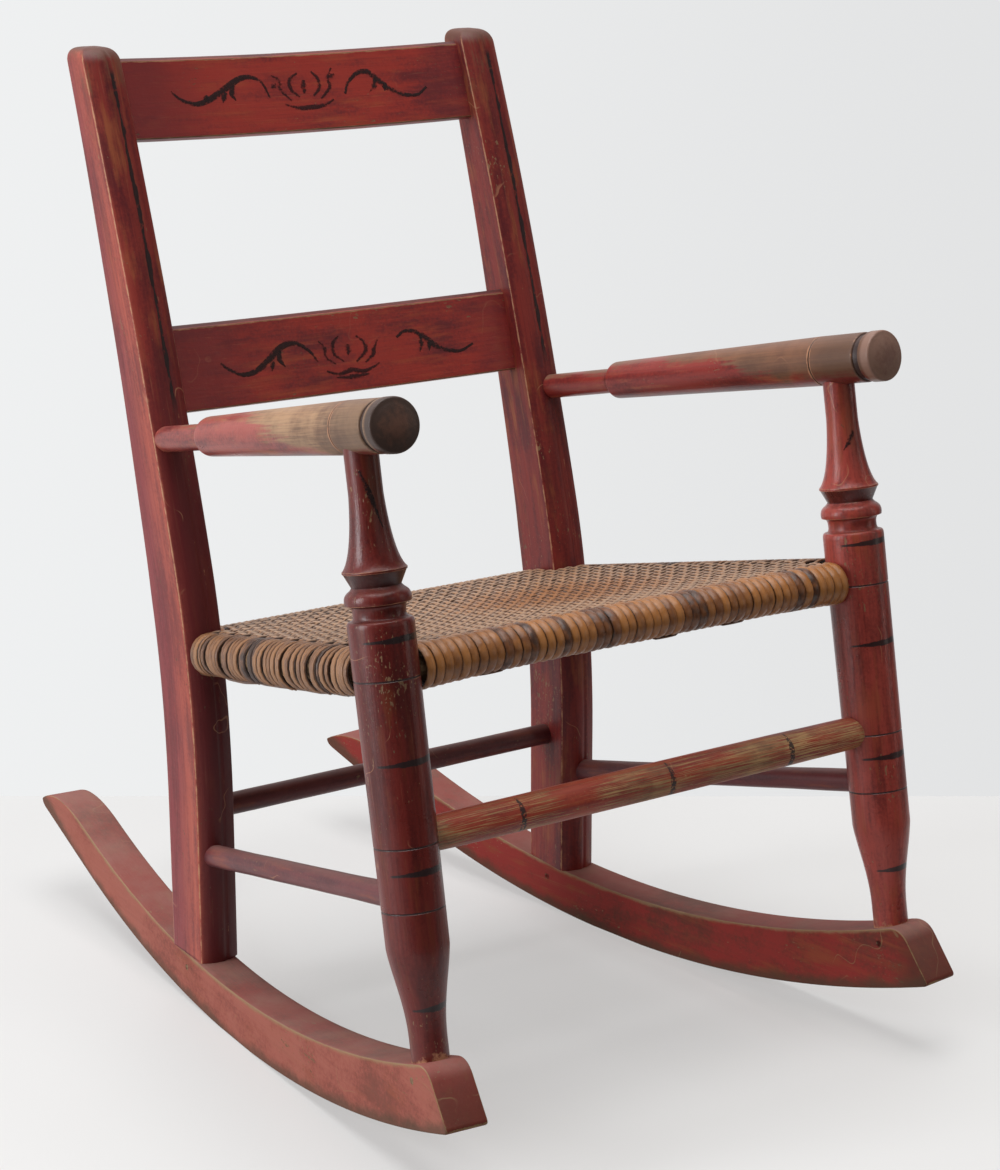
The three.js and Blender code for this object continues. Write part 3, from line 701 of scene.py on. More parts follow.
@dataclass(frozen=True)
class Cane:
    """Flat oval strands under old shellac, each with a tone of its own, rubbed grey and painted paler as a
    highlight where they ride high, and painted dark as shade along their sides.
    """

    name: str
    light: Colour = (0.44, 0.175, 0.048)
    brown: Colour = (0.19, 0.066, 0.021)
    dark: Colour = (0.024, 0.012, 0.01)
    grey: Colour = (0.47, 0.32, 0.22)
    amber: Colour = (0.33, 0.12, 0.03)
    amber_at: Colour = (0.045, -0.085, 0.275)
    amber_reach: float = 0.09
    greying: float = 0.7
    gloss: float = 0.27

    def material(self, effects: Effects) -> Material:
        """Builds the strands' finish.

        Args:
            effects: The shared shader groups.

        Returns:
            The material.
        """
        coat = Coat(self.name, effects)
        place, high = coat.local(), coat.read("rub")
        fibre = coat.fibre(place, 1500.0, 26.0)
        blotch = coat.noise(place, 110.0, 4.0, 0.62)
        tone = coat.read("tint") + (blotch * 1.5 - 0.75)
        away = coat.vector("DISTANCE", coat.out("TexCoord", output="Object"), self.amber_at)
        patch = (away + (blotch - 0.5) * 0.1).ramp(self.amber_reach, 0.25 * self.amber_reach, 0.0, 0.75)
        # High strands turn grey on top: worn cane, and a painted highlight as well
        rubbed = (high + (fibre * 0.8 - 0.4)).ramp(0.35, 0.85, 0.0, self.greying)
        # The last layer is painted shade: dark along each strand's sides and where it dips under others
        colour = coat.over(self.light, (tone.ramp(0.15, 0.85), self.brown),
                           (rubbed * (1.0 - patch * 0.7), self.grey), (patch, self.amber),
                           (tone.ramp(0.8, 1.1, 0.0, 0.8), self.dark),
                           (fibre.ramp(0.5, 0.72, 0.0, 0.55), self.brown),
                           (coat.read("nook").ramp(0.15, 0.85, 0.0, 0.93), self.dark))
        rough = fibre * 0.2 + (self.gloss - 0.08) + high * 0.12
        chips = fibre + coat.noise(place, 420.0)
        return coat.finish({"Base Color": colour, "Roughness": rough, "Specular IOR Level": 0.5,
                            "Normal": coat.bump(chips, 0.6)})


# Meshes


class Mould:
    """A mesh under work in its piece's own frame, whose Z runs along the grain."""

    SHARP = radians(38)

    def __init__(self) -> None:
        """Starts an empty mesh with the layers that the finishes read."""
        self.bm = bmesh.new()
        layers = self.bm.verts.layers
        self.local = layers.float_vector.new("local")
        self.rub = layers.float.new("rub")
        self.nook = layers.float.new("nook")
        self.tint = layers.float.new("tint")

    def spin(self, profile: Profile, segments: int = 72) -> None:
        """Turns a half profile round Z.

        Args:
            profile: Points of radius and height that start and end on the axis.
            segments: The number of steps in a full turn.
        """
        verts = [self.bm.verts.new((radius, 0.0, height)) for radius, height in profile]
        edges = [self.bm.edges.new(pair) for pair in zip(verts, verts[1:])]
        bmesh.ops.spin(self.bm, geom=verts + edges, cent=(0, 0, 0), axis=UP, angle=tau, steps=segments,
                       use_merge=True)
        bmesh.ops.remove_doubles(self.bm, verts=self.bm.verts[:], dist=WELD)
        bmesh.ops.recalc_face_normals(self.bm, faces=self.bm.faces[:])

    def skin(self, columns: int, rows: int, place: Callable[[int, int], Sequence[float]],
             mark: Callable[[int, int], tuple[float, float, float]] | None = None
             ) -> list[bmesh.types.BMVert]:
        """Lays a grid over a shape.

        Args:
            columns: The number of steps across.
            rows: The number of steps along.
            place: Gives the point at a column and a row.
            mark: Gives the rub, nook and tint there, where they aren't worked out from the shape.

        Returns:
            The grid's vertices.
        """
        made = bmesh.ops.create_grid(self.bm, x_segments=columns, y_segments=rows, size=1.0)["verts"]
        for vert in made:
            column = round((vert.co.x + 1) / 2 * columns)
            row = round((vert.co.y + 1) / 2 * rows)
            vert.co = place(column, row)
            if mark:
                vert[self.rub], vert[self.nook], vert[self.tint] = mark(column, row)
        return made

    def close(self) -> None:
        """Welds seams, closes open ends and turns the faces outwards."""
        bmesh.ops.remove_doubles(self.bm, verts=self.bm.verts[:], dist=WELD)
        rims = [edge for edge in self.bm.edges if edge.is_boundary]
        if rims:
            bmesh.ops.holes_fill(self.bm, edges=rims, sides=0)
        bmesh.ops.recalc_face_normals(self.bm, faces=self.bm.faces[:])

    def mark_edges(self, start: float = 0.1, full: float = 0.4) -> None:
        """Marks convex edges as rubbed and hollow ones as nooks, which the finishes paint dark as shade, by
        how sharply the faces meet.

        Args:
            start: The angle in radians at which a mark begins.
            full: The angle at which it is whole.
        """
        for vert in self.bm.verts:
            turns = [edge.calc_face_angle_signed(0.0) for edge in vert.link_edges]
            high, low = max(turns, default=0.0), min(turns, default=0.0)
            vert[self.rub] = min(max((high - start) / (full - start), 0.0), 1.0)
            vert[self.nook] = min(max((-low - start) / (full - start), 0.0), 1.0)

    def settle(self, local: Callable[[Vector], Sequence[float]] | None = None) -> None:
        """Notes each point's place in the piece's own frame, for patterns that follow the grain."""
        for vert in self.bm.verts:
            vert[self.local] = local(vert.co) if local else vert.co

    def piece(self, name: str, material: Material, slot: str, stead: Iterable[str] = (),
              place: Matrix = Matrix.Identity(4)) -> None:
        """Makes the object and joins it to the frame.

        Args:
            name: The object's name.
            material: Its material.
            slot: The record's slot that its finish stands for; it is not used.
            stead: The CAD nodes that it stands for.
            place: Where its own frame stands.
        """
        self.bm.transform(place)
        mesh = bpy.data.meshes.new(name)
        self.bm.to_mesh(mesh)
        self.bm.free()
        mesh.shade_smooth()
        mesh.set_sharp_from_angle(angle=self.SHARP)
        mesh.materials.append(material)
        made = bpy.data.objects.new(name, mesh)
        bpy.context.scene.collection.objects.link(made)
        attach(made, BODY)
        stead = tuple(stead)
        if stead:
            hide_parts(*stead)
        log.info("%s: %d faces", name, len(mesh.polygons))


# The chair's parts


@dataclass
class BackPosts:
    """Two posts, bent above the seat, crowned in front, thinned upwards and domed on top."""

    x: float = 0.1468
    width: float = 0.0276
    front_y: float = 0.0308
    foot_depth: float = 0.037
    seat_depth: float = 0.039
    top_depth: float = 0.022
    seat_z: float = 0.27
    crown: float = 0.0045
    bend_z: float = 0.135
    bend_radius: float = 0.64
    bend_angle: float = radians(14.6)
    upper_radius: float = 3.0
    height: float = 0.6138
    dome: float = 0.0095
    corner: float = 0.0009
    rear_round: float = 0.0025
    line_share: float = 0.12
    line_width: float = 0.0019
    line_depth: float = 0.0006
    shift: float = 0.0

    def __post_init__(self) -> None:
        """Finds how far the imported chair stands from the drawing's origin along Y."""
        low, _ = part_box(Side.RIGHT.node("back_post"))
        self.shift = low.y + self.crown - self.front_y
        self.front_y += self.shift

    def line(self, z: float) -> float:
        """Returns how far back the bend has carried the post at a height."""
        if z <= self.bend_z:
            return 0.0
        turn = sin(self.bend_angle)
        top = self.bend_z + self.bend_radius * turn
        if z <= top:
            return self.bend_radius - sqrt(self.bend_radius**2 - (z - self.bend_z) ** 2)
        rise = turn * self.upper_radius + z - top
        start = self.bend_radius * (1 - cos(self.bend_angle))
        return start + self.upper_radius * cos(self.bend_angle) - sqrt(self.upper_radius**2 - rise**2)

    def face(self, z: float) -> float:
        """Returns Y at the front corners of the post at a height."""
        return self.front_y + self.line(z)

    def depth(self, z: float) -> float:
        """Returns the post's depth at a height."""
        if z < self.seat_z:
            return lerp(self.foot_depth, self.seat_depth, max(z, 0.0) / self.seat_z)
        return lerp(self.seat_depth, self.top_depth, (z - self.seat_z) / (self.height - self.seat_z))

    def front(self, x: float) -> float:
        """Returns how far the crowned front stands behind its corners at a place across the post."""
        share = min(abs(x) / (self.width / 2), 1.0)
        away = abs(x - self.line_share * self.width) / self.line_width
        groove = self.line_depth * max(0.0, 1 - away**2)
        return -self.crown * (1 - share**2) + groove

    def outline(self, depth: float) -> Profile:
        """Draws the post's section.

        Args:
            depth: The depth there.

        Returns:
            Its points, from the left front corner, across the front and round the back.
        """
        half, ease, rear = self.width / 2, self.corner, self.rear_round
        near = 0.0035
        span = half - ease
        groove_x = self.line_share * self.width
        fine = [groove_x + self.line_width * share for share in spread(-1.2, 1.2, 8)]
        beside = [x for x in spread(-span, span, 24) if abs(x - groove_x) > 1.2 * self.line_width]
        crown = sorted(beside + fine)
        points = [(x, self.front(x)) for x in crown]
        right = [
            *curve((span, self.front(span)), (half, 0.0), (half, ease * 1.5), 3)[1:],
            (half, near), (half, depth / 2), (half, depth - rear - near),
            *curve((half, depth - rear), (half, depth), (half - rear, depth), 4),
            (half - rear - near, depth), (0.0, depth),
        ]
        left = [(-x, y) for x, y in reversed(right[:-1])]
        return [*points, *right, *left]

    def build(self, side: Side, rocker: "Rockers", material: Material) -> None:
        """Builds one post, with its foot scribed to its rocker.

        Args:
            side: Which post.
            rocker: What it stands on.
            material: Its paint.
        """
        mould = Mould()
        body = spread(0.0, self.height - self.dome, 84)
        turns = spread(0.0, pi / 2, 12)[1:-1]
        levels = [(z, 1.0) for z in body]
        levels += [
            (self.height - self.dome + self.dome * sin(turn), sqrt(cos(turn))) for turn in turns
        ]
        levels += [(self.height, sqrt(cos(turns[-1])) * share) for share in (0.8, 0.3)]
        sections = [self.outline(self.depth(z)) for z, _ in levels]
        count = len(sections[0])

        def place(column: int, row: int) -> Vector:
            """Returns a point of the post's skin."""
            z, shrink = levels[row]
            depth = self.depth(z)
            x, y = sections[row][column % count]
            y = depth / 2 + (y - depth / 2) * shrink
            foot = rocker.top(side, side.value * self.x + x, self.front_y + y) + 0.0001
            sway = noise.noise(Vector((side.value * 3.0, y * 30, z * 9))) * 0.0004
            z = max(z, foot + z * 0.01)
            return Vector((x * shrink + sway, y + self.line(z), z))

        mould.skin(count, len(levels) - 1, place)
        mould.close()
        mould.mark_edges()
        mould.settle(lambda co: (co.x, co.y - self.line(co.z), co.z))
        name = side.node("back_post")
        mould.piece(f"{name}_painted", material, "painted_wood", (name,),
                           Matrix.Translation((side.value * self.x, self.front_y, 0.0)))


@dataclass
class Rockers:
    """Two splayed rockers, sawn from board, each one flat arc below and one above."""

    thickness: float = 0.027
    half_length: float = 0.303
    depth: float = 0.032
    sole_radius: float = 0.82
    sole_lowest: float = -0.022
    sole_flat: float = 0.048
    top_radius: float = 0.774
    top_lowest: float = -0.005
    toe_rake: float = 0.025
    toe_round: float = 0.011
    toe_heel_round: float = 0.004
    tail: float = 0.081
    tail_round: float = 0.007
    tip_round: float = 0.079
    tip_corner: float = 0.028
    tip_rise: float = 0.004
    edge: float = 0.0009
    post_x: float = 0.1775
    foot_setback: float = 0.0445
    back_x: float = 0.1468
    back_y: float = 0.0493
    shift: float = 0.0

    @property
    def foot_y(self) -> float:
        """Returns where the front posts' feet stand along Y, at the drawing's origin."""
        return self.foot_setback - self.half_length

    @property
    def splay(self) -> float:
        """Returns the angle between each rocker and the chair's middle."""
        return atan2(self.post_x - self.back_x, self.back_y - self.foot_y)

    @property
    def x(self) -> float:
        """Returns how far each rocker's middle stands from the chair's middle, at the drawing's origin."""
        return self.back_x + self.back_y * tan(self.splay)

    def sole_z(self, y: float) -> float:
        """Returns the height of the sole at a place along the rocker."""
        centre = sqrt(self.sole_radius**2 - (self.sole_flat / 2) ** 2)
        tail_y = self.half_length - self.tail

        def arc(v: float) -> float:
            """Returns the height of the sole's circle."""
            return centre - sqrt(self.sole_radius**2 - (v - self.sole_lowest) ** 2)

        if y <= tail_y:
            return max(arc(y), 0.0)
        slope = (tail_y - self.sole_lowest) / (centre - arc(tail_y))
        return arc(tail_y) + slope * (y - tail_y)

    def top_z(self, y: float) -> float:
        """Returns the height of the top edge at a place along the rocker."""
        centre = self.depth + self.top_radius
        return centre - sqrt(self.top_radius**2 - (y - self.top_lowest) ** 2)

    def frame(self, side: Side) -> Matrix:
        """Returns the frame of one rocker's middle plane."""
        place = Matrix.Translation((side.value * self.x, self.shift, 0.0))
        return place @ Matrix.Rotation(side.value * self.splay, 4, "Z")

    def top(self, side: Side, x: float, y: float) -> float:
        """Returns the height of a rocker's top edge under a point of the chair."""
        inside = self.frame(side).inverted() @ Vector((x, y, 0.0))
        return self.top_z(inside.y)

    def outline(self) -> Profile:
        """Returns the rocker's outline, in Y and Z, from the middle of the sole round by the tail."""
        reach = self.half_length

        def sole(y: float) -> Point:
            """Returns a point of the sole."""
            return (y, self.sole_z(y))

        def top(y: float) -> Point:
            """Returns a point of the top edge."""
            return (y, self.top_z(y))

        heel, toe = Vector(sole(-reach)), Vector(top(self.toe_rake - reach))
        rake = (heel - toe).normalized()
        tip = (reach, self.sole_z(reach) + self.tip_rise)
        tip_top = top(reach - self.tip_round)
        fall = (tip_top[0] - self.top_lowest) / (self.depth + self.top_radius - tip_top[1])
        run = self.tip_round - self.tip_corner
        tip_corner = (tip_top[0] + run, tip_top[1] + run * fall)
        flat_end = self.sole_lowest + self.sole_flat / 2
        flat_start = self.sole_lowest - self.sole_flat / 2
        sweep = [sole(y) for y in spread(flat_end, reach - self.tail_round, 40)]
        crest = [top(y) for y in spread(reach - self.tip_round, self.toe_rake - reach + self.toe_round, 64)]
        toe_top = toe + rake * self.toe_round
        heel_top = heel - rake * self.toe_heel_round
        front = [sole(y) for y in spread(self.toe_heel_round - reach, flat_start, 40)]
        return [
            *sweep,
            *curve(sole(reach - self.tail_round), sole(reach), tip, 5)[1:],
            *curve(tip, tip_corner, tip_top, 28)[1:-1],
            *crest,
            *curve(crest[-1], toe, toe_top, 8)[1:],
            *curve(heel_top, heel, front[0], 6)[:-1],
            *front,
        ]

    def build(self, side: Side, material: Material) -> None:
        """Builds one rocker.

        Args:
            side: Which rocker.
            material: Its paint.
        """
        mould = Mould()
        bm, half = mould.bm, self.thickness / 2
        face = bm.faces.new([bm.verts.new((-half, y, z)) for y, z in self.outline()])
        made = bmesh.ops.extrude_face_region(bm, geom=[face])
        moved = [part for part in made["geom"] if isinstance(part, bmesh.types.BMVert)]
        bmesh.ops.translate(bm, verts=moved, vec=(self.thickness, 0.0, 0.0))
        bmesh.ops.recalc_face_normals(bm, faces=bm.faces[:])
        sides = [f for f in bm.faces if len(f.verts) > 8]
        rims = [edge for edge in bm.edges if any(f in sides for f in edge.link_faces)]
        bmesh.ops.bevel(bm, geom=rims, offset=self.edge, offset_type="OFFSET", segments=3, profile=0.5,
                        affect="EDGES", material=-1)
        sides = [f for f in bm.faces if len(f.verts) > 8]
        bmesh.ops.inset_region(bm, faces=sides, thickness=self.edge / 4)
        for x in (-half + 0.0045, half - 0.0045):
            everything = bm.verts[:] + bm.edges[:] + bm.faces[:]
            bmesh.ops.bisect_plane(bm, geom=everything, plane_co=(x, 0, 0), plane_no=(1, 0, 0))
        mould.mark_edges(0.2, 0.45)
        mould.settle(lambda co: (co.x, co.z, co.y))
        name = side.node("rocker")
        mould.piece(f"{name}_painted", material, "painted_wood", (name,), self.frame(side))


@dataclass
class FrontPosts:
    """Two turned posts that lean back: a swelling foot, a long barrel, a bead and collar, and a neck."""

    rockers: Rockers
    lean: float = radians(10.75)
    foot: float = 0.022
    ankle: float = 0.013
    swell_width: float = 0.0365
    swell: float = 0.066
    shoulder_width: float = 0.0383
    shoulder: float = 0.249
    shoulder_round: float = 0.0036
    neck_width: float = 0.0302
    neck: float = 0.2556
    bead_width: float = 0.0386
    bead_edge_width: float = 0.0376
    bead_foot: float = 0.2618
    bead: float = 0.2655
    waist_width: float = 0.0284
    waist: float = 0.2715
    collar_width: float = 0.037
    collar: float = 0.2795
    collar_band: float = 0.0012
    shaft_width: float = 0.0198
    shaft: float = 0.3227
    ring_heights: tuple[float, ...] = (0.1616, 0.1976, 0.2905)
    ring_depth: float = 0.0004
    ring_half: float = 0.0006
    flare_reach: float = 0.011

    def foot_at(self, side: Side) -> Vector:
        """Returns the middle of a post's foot, on its rocker."""
        rockers = self.rockers
        height = rockers.top_z(rockers.foot_y / cos(rockers.splay))
        return Vector((side.value * rockers.post_x, rockers.foot_y + rockers.shift, height))

    @property
    def rise(self) -> Vector:
        """Returns the direction in which the posts rise."""
        return Vector((0.0, sin(self.lean), cos(self.lean)))

    def at(self, side: Side, z: float) -> Vector:
        """Returns the point of a post's axis at a height."""
        foot = self.foot_at(side)
        return foot + self.rise * ((z - foot.z) / cos(self.lean))

    def rings(self) -> list[float]:
        """Returns the places along a post of its scribed rings."""
        foot_z = self.foot_at(Side.LEFT).z
        return [(z - foot_z) / cos(self.lean) for z in self.ring_heights]

    def profile(self, top: float) -> Profile:
        """Draws the turning.

        Args:
            top: Its length.

        Returns:
            Points of radius and height.
        """
        def at(width: float, height: float) -> Point:
            """Returns a point of the profile."""
            return (width / 2, height)

        rings = self.rings()
        barrel = []
        for height in spread(self.swell, self.shoulder, 60)[1:-1]:
            share = (height - self.swell) / (self.shoulder - self.swell)
            if all(abs(height - ring) > 2 * self.ring_half for ring in rings):
                barrel.append(at(lerp(self.swell_width, self.shoulder_width, share), height))
        for ring in rings:
            share = (ring - self.swell) / (self.shoulder - self.swell)
            width = lerp(self.swell_width, self.shoulder_width, share)
            for offset, sink in ((-1.0, 0.0), (-0.5, 0.8), (0.0, 1.0), (0.5, 0.8), (1.0, 0.0)):
                barrel.append(at(width - 2 * self.ring_depth * sink, ring + offset * self.ring_half))
        barrel.sort(key=lambda point: point[1])
        top_of_shoulder = self.shoulder + self.shoulder_round
        rounded_in = self.shoulder_width - self.shoulder_round
        cove_end = self.bead_foot - 0.0004
        lip = self.bead_edge_width - 0.0022
        return [
            (0.0, -0.002),
            at(self.foot, -0.002),
            *swept(at(self.foot, self.ankle), (0.4, 0.0), (0.7, 0.77), at(self.swell_width, self.swell), 16),
            *barrel,
            *curve(at(self.shoulder_width, self.shoulder), at(self.shoulder_width, top_of_shoulder),
                   at(rounded_in, top_of_shoulder), 8),
            *curve(at(rounded_in - 0.0006, top_of_shoulder), at(self.neck_width, self.neck - 0.0026),
                   at(self.neck_width, self.neck), 5),
            *curve(at(self.neck_width, self.neck + 0.0012), at(self.neck_width, cove_end),
                   at(lip, cove_end), 6),
            at(self.bead_edge_width, self.bead_foot),
            *curve(at(self.bead_edge_width + 0.0003, self.bead_foot + 0.0006),
                   at(self.bead_width + 0.0008, self.bead + 0.0014),
                   at(self.bead_width - 0.0058, self.bead + 0.0036), 8),
            *curve(at(self.bead_width - 0.0058, self.bead + 0.0036),
                   at(self.waist_width + 0.001, self.waist - 0.0012),
                   at(self.waist_width, self.waist), 4)[1:],
            at(self.collar_width - 0.0012, self.collar - 0.0004),
            *curve(at(self.collar_width, self.collar), at(self.collar_width + 0.0002, self.collar + 0.0006),
                   at(self.collar_width, self.collar + self.collar_band), 3),
            *swept(at(self.collar_width - 0.0008, self.collar + self.collar_band + 0.0003), (0.12, 0.52),
                   (0.48, 0.87), at(self.shaft_width, self.shaft), 22),
            *[at(self.shaft_width, height) for height in spread(self.shaft, top, 20)[1:]],
            (0.0, top),
        ]

    def leaf(self, side: Side, top: float, stroke: "Stroke", material: Material) -> None:
        """Paints the leaf on a post's flare.

        Args:
            side: Which post.
            top: How far the post rises along its axis.
            stroke: The stroke, in turns round the post, as radians of the flare, and in height.
            material: The black paint.
        """
        outline = [point for point in self.profile(top) if point[1] > self.collar + 2 * self.collar_band]

        def lay(turn: float, height: float, lift: float) -> Vector:
            """Returns a point on the turned surface, or a little above it."""
            pairs = zip(outline, outline[1:])
            below, above = next(pair for pair in pairs if pair[1][1] >= height)
            share = (height - below[1]) / max(above[1] - below[1], WELD)
            radius = lerp(below[0], above[0], share) + lift
            angle = turn / self.flare_reach
            return Vector((radius * cos(angle), radius * sin(angle), height))

        mould = Mould()
        ribbon(mould, stroke, lay)
        mould.settle()
        foot = self.foot_at(side)
        name = f"{side.node('front_post')}_leaf"
        mould.piece(name, material, "dark_painted_wood", (), along(foot, foot + self.rise))

    def build(self, side: Side, top: float, material: Material) -> None:
        """Builds one post.

        Args:
            side: Which post.
            top: How far it rises along its axis.
            material: Its paint.
        """
        mould = Mould()
        mould.spin(self.profile(top))
        mould.mark_edges(0.12, 0.5)
        rings = self.rings()
        for vert in mould.bm.verts:
            if min(abs(vert.co.z - ring) for ring in rings) < 2 * self.ring_half:
                vert[mould.rub] *= 0.55
        mould.settle()
        name = side.node("front_post")
        foot = self.foot_at(side)
        mould.piece(f"{name}_turned", material, "dark_painted_wood", (name,), along(foot, foot + self.rise))


@dataclass
class Arms:
    """Two turned arms, from a domed button in front down to a dowel in the back post."""

    posts: FrontPosts
    back: BackPosts
    post_z: float = 0.4286
    post_inset: float = 0.00115
    overhang: float = 0.0447
    rear_outset: float = 0.005
    rear_z: float = 0.3736
    dome: float = 0.003
    rim_width: float = 0.0315
    rim: float = 0.0093
    rim_round: float = 0.0015
    groove_width: float = 0.0282
    groove: float = 0.005
    barrel_width: float = 0.031
    ring: float = 0.053
    ring_depth: float = 0.0005
    ring_half: float = 0.0006
    shoulder_width: float = 0.0248
    shoulder_round: float = 0.0035
    dowel_width: float = 0.0165
    dowel: float = 0.07

    def rear(self, side: Side) -> Vector:
        """Returns the point where an arm meets its back post."""
        x = side.value * (self.back.x + self.rear_outset)
        return Vector((x, self.back.face(self.rear_z), self.rear_z))

    def front(self, side: Side) -> Vector:
        """Returns the middle of an arm's front end."""
        post = self.posts.at(side, self.post_z) - Vector((side.value * self.post_inset, 0.0, 0.0))
        return post + (post - self.rear(side)).normalized() * self.overhang

    @property
    def length(self) -> float:
        """Returns an arm's length, from its front end to the face of the back post."""
        return (self.rear(Side.LEFT) - self.front(Side.LEFT)).length

    @property
    def shoulder(self) -> float:
        """Returns how far behind its front end an arm steps down to its dowel."""
        return self.length - self.dowel

    @property
    def post_top(self) -> float:
        """Returns how far along a front post the middle of the arm crosses it."""
        return (self.posts.at(Side.LEFT, self.post_z) - self.posts.foot_at(Side.LEFT)).length

    def profile(self) -> Profile:
        """Returns the turning, as points of radius and distance from the front end."""
        def at(width: float, reach: float) -> Point:
            """Returns a point of the profile."""
            return (width / 2, reach)

        rim, rim_end = self.rim_width, self.dome + self.rim
        groove_end = rim_end + self.groove
        length = self.length
        barrel = []
        for reach in spread(self.ring, self.shoulder - self.shoulder_round, 50)[1:-1]:
            share = (reach - self.ring) / (self.shoulder - self.shoulder_round - self.ring)
            barrel.append(at(lerp(self.barrel_width, self.shoulder_width, share), reach))
        button = rim - 2 * self.rim_round
        return [
            (0.0, 0.0),
            *[at(button * share, self.dome * share**2.2) for share in spread(0.0, 1.0, 12)[1:-1]],
            *curve(at(button, self.dome * 0.9), at(rim, self.dome), at(rim, self.dome + self.rim_round), 6),
            *[at(rim, reach)
              for reach in spread(self.dome + self.rim_round, rim_end - self.rim_round, 5)[1:-1]],
            *curve(at(rim, rim_end - self.rim_round), at(rim, rim_end), at(self.groove_width, rim_end), 5),
            at(self.groove_width, groove_end - self.rim_round),
            *curve(at(self.groove_width + 0.0004, groove_end - self.rim_round / 2),
                   at(self.barrel_width, groove_end - 0.0004), at(self.barrel_width, groove_end + 0.0008), 4),
            *[at(self.barrel_width, reach)
              for reach in spread(groove_end + 0.0008, self.ring - self.ring_half, 12)[1:]],
            at(self.barrel_width - 2 * self.ring_depth, self.ring),
            at(self.barrel_width, self.ring + self.ring_half),
            *barrel,
            *curve(at(self.shoulder_width, self.shoulder - self.shoulder_round),
                   at(self.shoulder_width, self.shoulder), at(self.dowel_width + 0.001, self.shoulder), 8),
            at(self.dowel_width, self.shoulder + 0.0006),
            *[at(self.dowel_width, reach)
              for reach in spread(self.shoulder + 0.0006, length + 0.004, 10)[1:]],
            (0.0, length + 0.004),
        ]

    def build(self, side: Side, material: Material) -> None:
        """Builds one arm.

        Args:
            side: Which arm.
            material: Its finish.
        """
        mould = Mould()
        mould.spin(self.profile())
        mould.mark_edges(0.12, 0.5)
        mould.settle()
        name = side.node("arm")
        mould.piece(f"{name}_turned", material, "worn_wood", (name,),
                           along(self.front(side), self.rear(side)))


@dataclass
class Slats:
    """The two bowed slats between the back posts."""

    back: BackPosts
    thickness: float = 0.008
    bow: float = 0.0074
    ease: float = 0.001
    bevel: float = 0.0028
    tenon: float = 0.004

    def frame(self, bottom: float, top: float, setback: float) -> Matrix:
        """Returns the frame of a slat: X across the chair and Z up its height."""
        foot = Vector((0.0, self.back.face(bottom) + setback, bottom))
        head = Vector((0.0, self.back.face(top) + setback, top))
        return along(foot, head)

    def half_length(self) -> float:
        """Returns half of a slat's length, with a little of its tenons."""
        return self.back.x - self.back.width / 2 + self.tenon

    def front(self, x: float, z: float, bottom: float) -> float:
        """Returns how far the front of a slat stands back.

        Args:
            x: The place along the slat.
            z: The height above its lower edge.
            bottom: The height of that edge, which sets each slat's own unevenness.

        Returns:
            The distance, from the chord between its ends.
        """
        ripple = noise.noise(Vector((x * 40, z * 20, bottom * 9))) * 0.0003
        return self.bow * (1 - (x / self.half_length()) ** 2) + ripple

    def build(self, name: str, bottom: float, top: float, setback: float,
              material: Material) -> None:
        """Builds one slat.

        Args:
            name: Its CAD node.
            bottom: Its lower edge's height.
            top: Its upper edge's height.
            setback: How far it stands behind the posts' front corners.
            material: Its paint.
        """
        place = self.frame(bottom, top, setback)
        height = (top - bottom) / place.col[2].z
        near, ease, deep = 0.003, self.ease, self.thickness
        lift = [ease + near, *spread(0.012, height - 0.012, 8), height - self.bevel - near / 2]
        front = [(0.0, z) for z in lift]
        shoulder = curve((deep - ease, height), (deep, height), (deep, height - ease), 4)
        sill = [(deep - y, height - z) for y, z in shoulder]
        slope = [(share * self.bevel, height - (1 - share) * self.bevel)
                 for share in (0.0, 0.08, 0.25, 0.5, 0.85)]
        crest = [*slope, (1.1 * self.bevel, height), (deep / 2, height), *shoulder]
        rear = [(deep, z) for z in reversed(lift)]
        sole = [*curve((deep, ease), (deep, 0.0), (deep - ease, 0.0), 4), (deep / 2, 0.0), *sill]
        section = [*front, *crest, *rear, *sole]
        half = self.half_length()
        rows = spread(-1.0, 1.0, 90)

        def put(column: int, row: int) -> Vector:
            """Returns a point of the slat's skin."""
            y, z = section[column % len(section)]
            x = rows[row] * half
            return Vector((x, self.front(x, z, bottom) + y, z))

        mould = Mould()
        mould.skin(len(section), len(rows) - 1, put)
        mould.close()
        mould.mark_edges(0.1, 0.35)
        # The flat top behind the bevel is marked as a nook as well, so that the finish paints it dark like
        # the hollows
        for vert in mould.bm.verts:
            inside = vert.co.y - self.front(vert.co.x, vert.co.z, bottom)
            if vert.co.z > height - self.bevel and inside > 0.2 * self.bevel:
                vert[mould.nook] = 0.85 if inside < 0.7 * self.bevel else 1.0
                vert[mould.rub] = 0.0
            vert[mould.rub] *= 0.0 if inside > deep / 2 and vert.co.z > height / 2 else 1.0
        mould.settle(lambda co: (co.y, co.z, co.x))
        mould.piece(f"{name}_painted", material, "painted_wood", (name,), place)


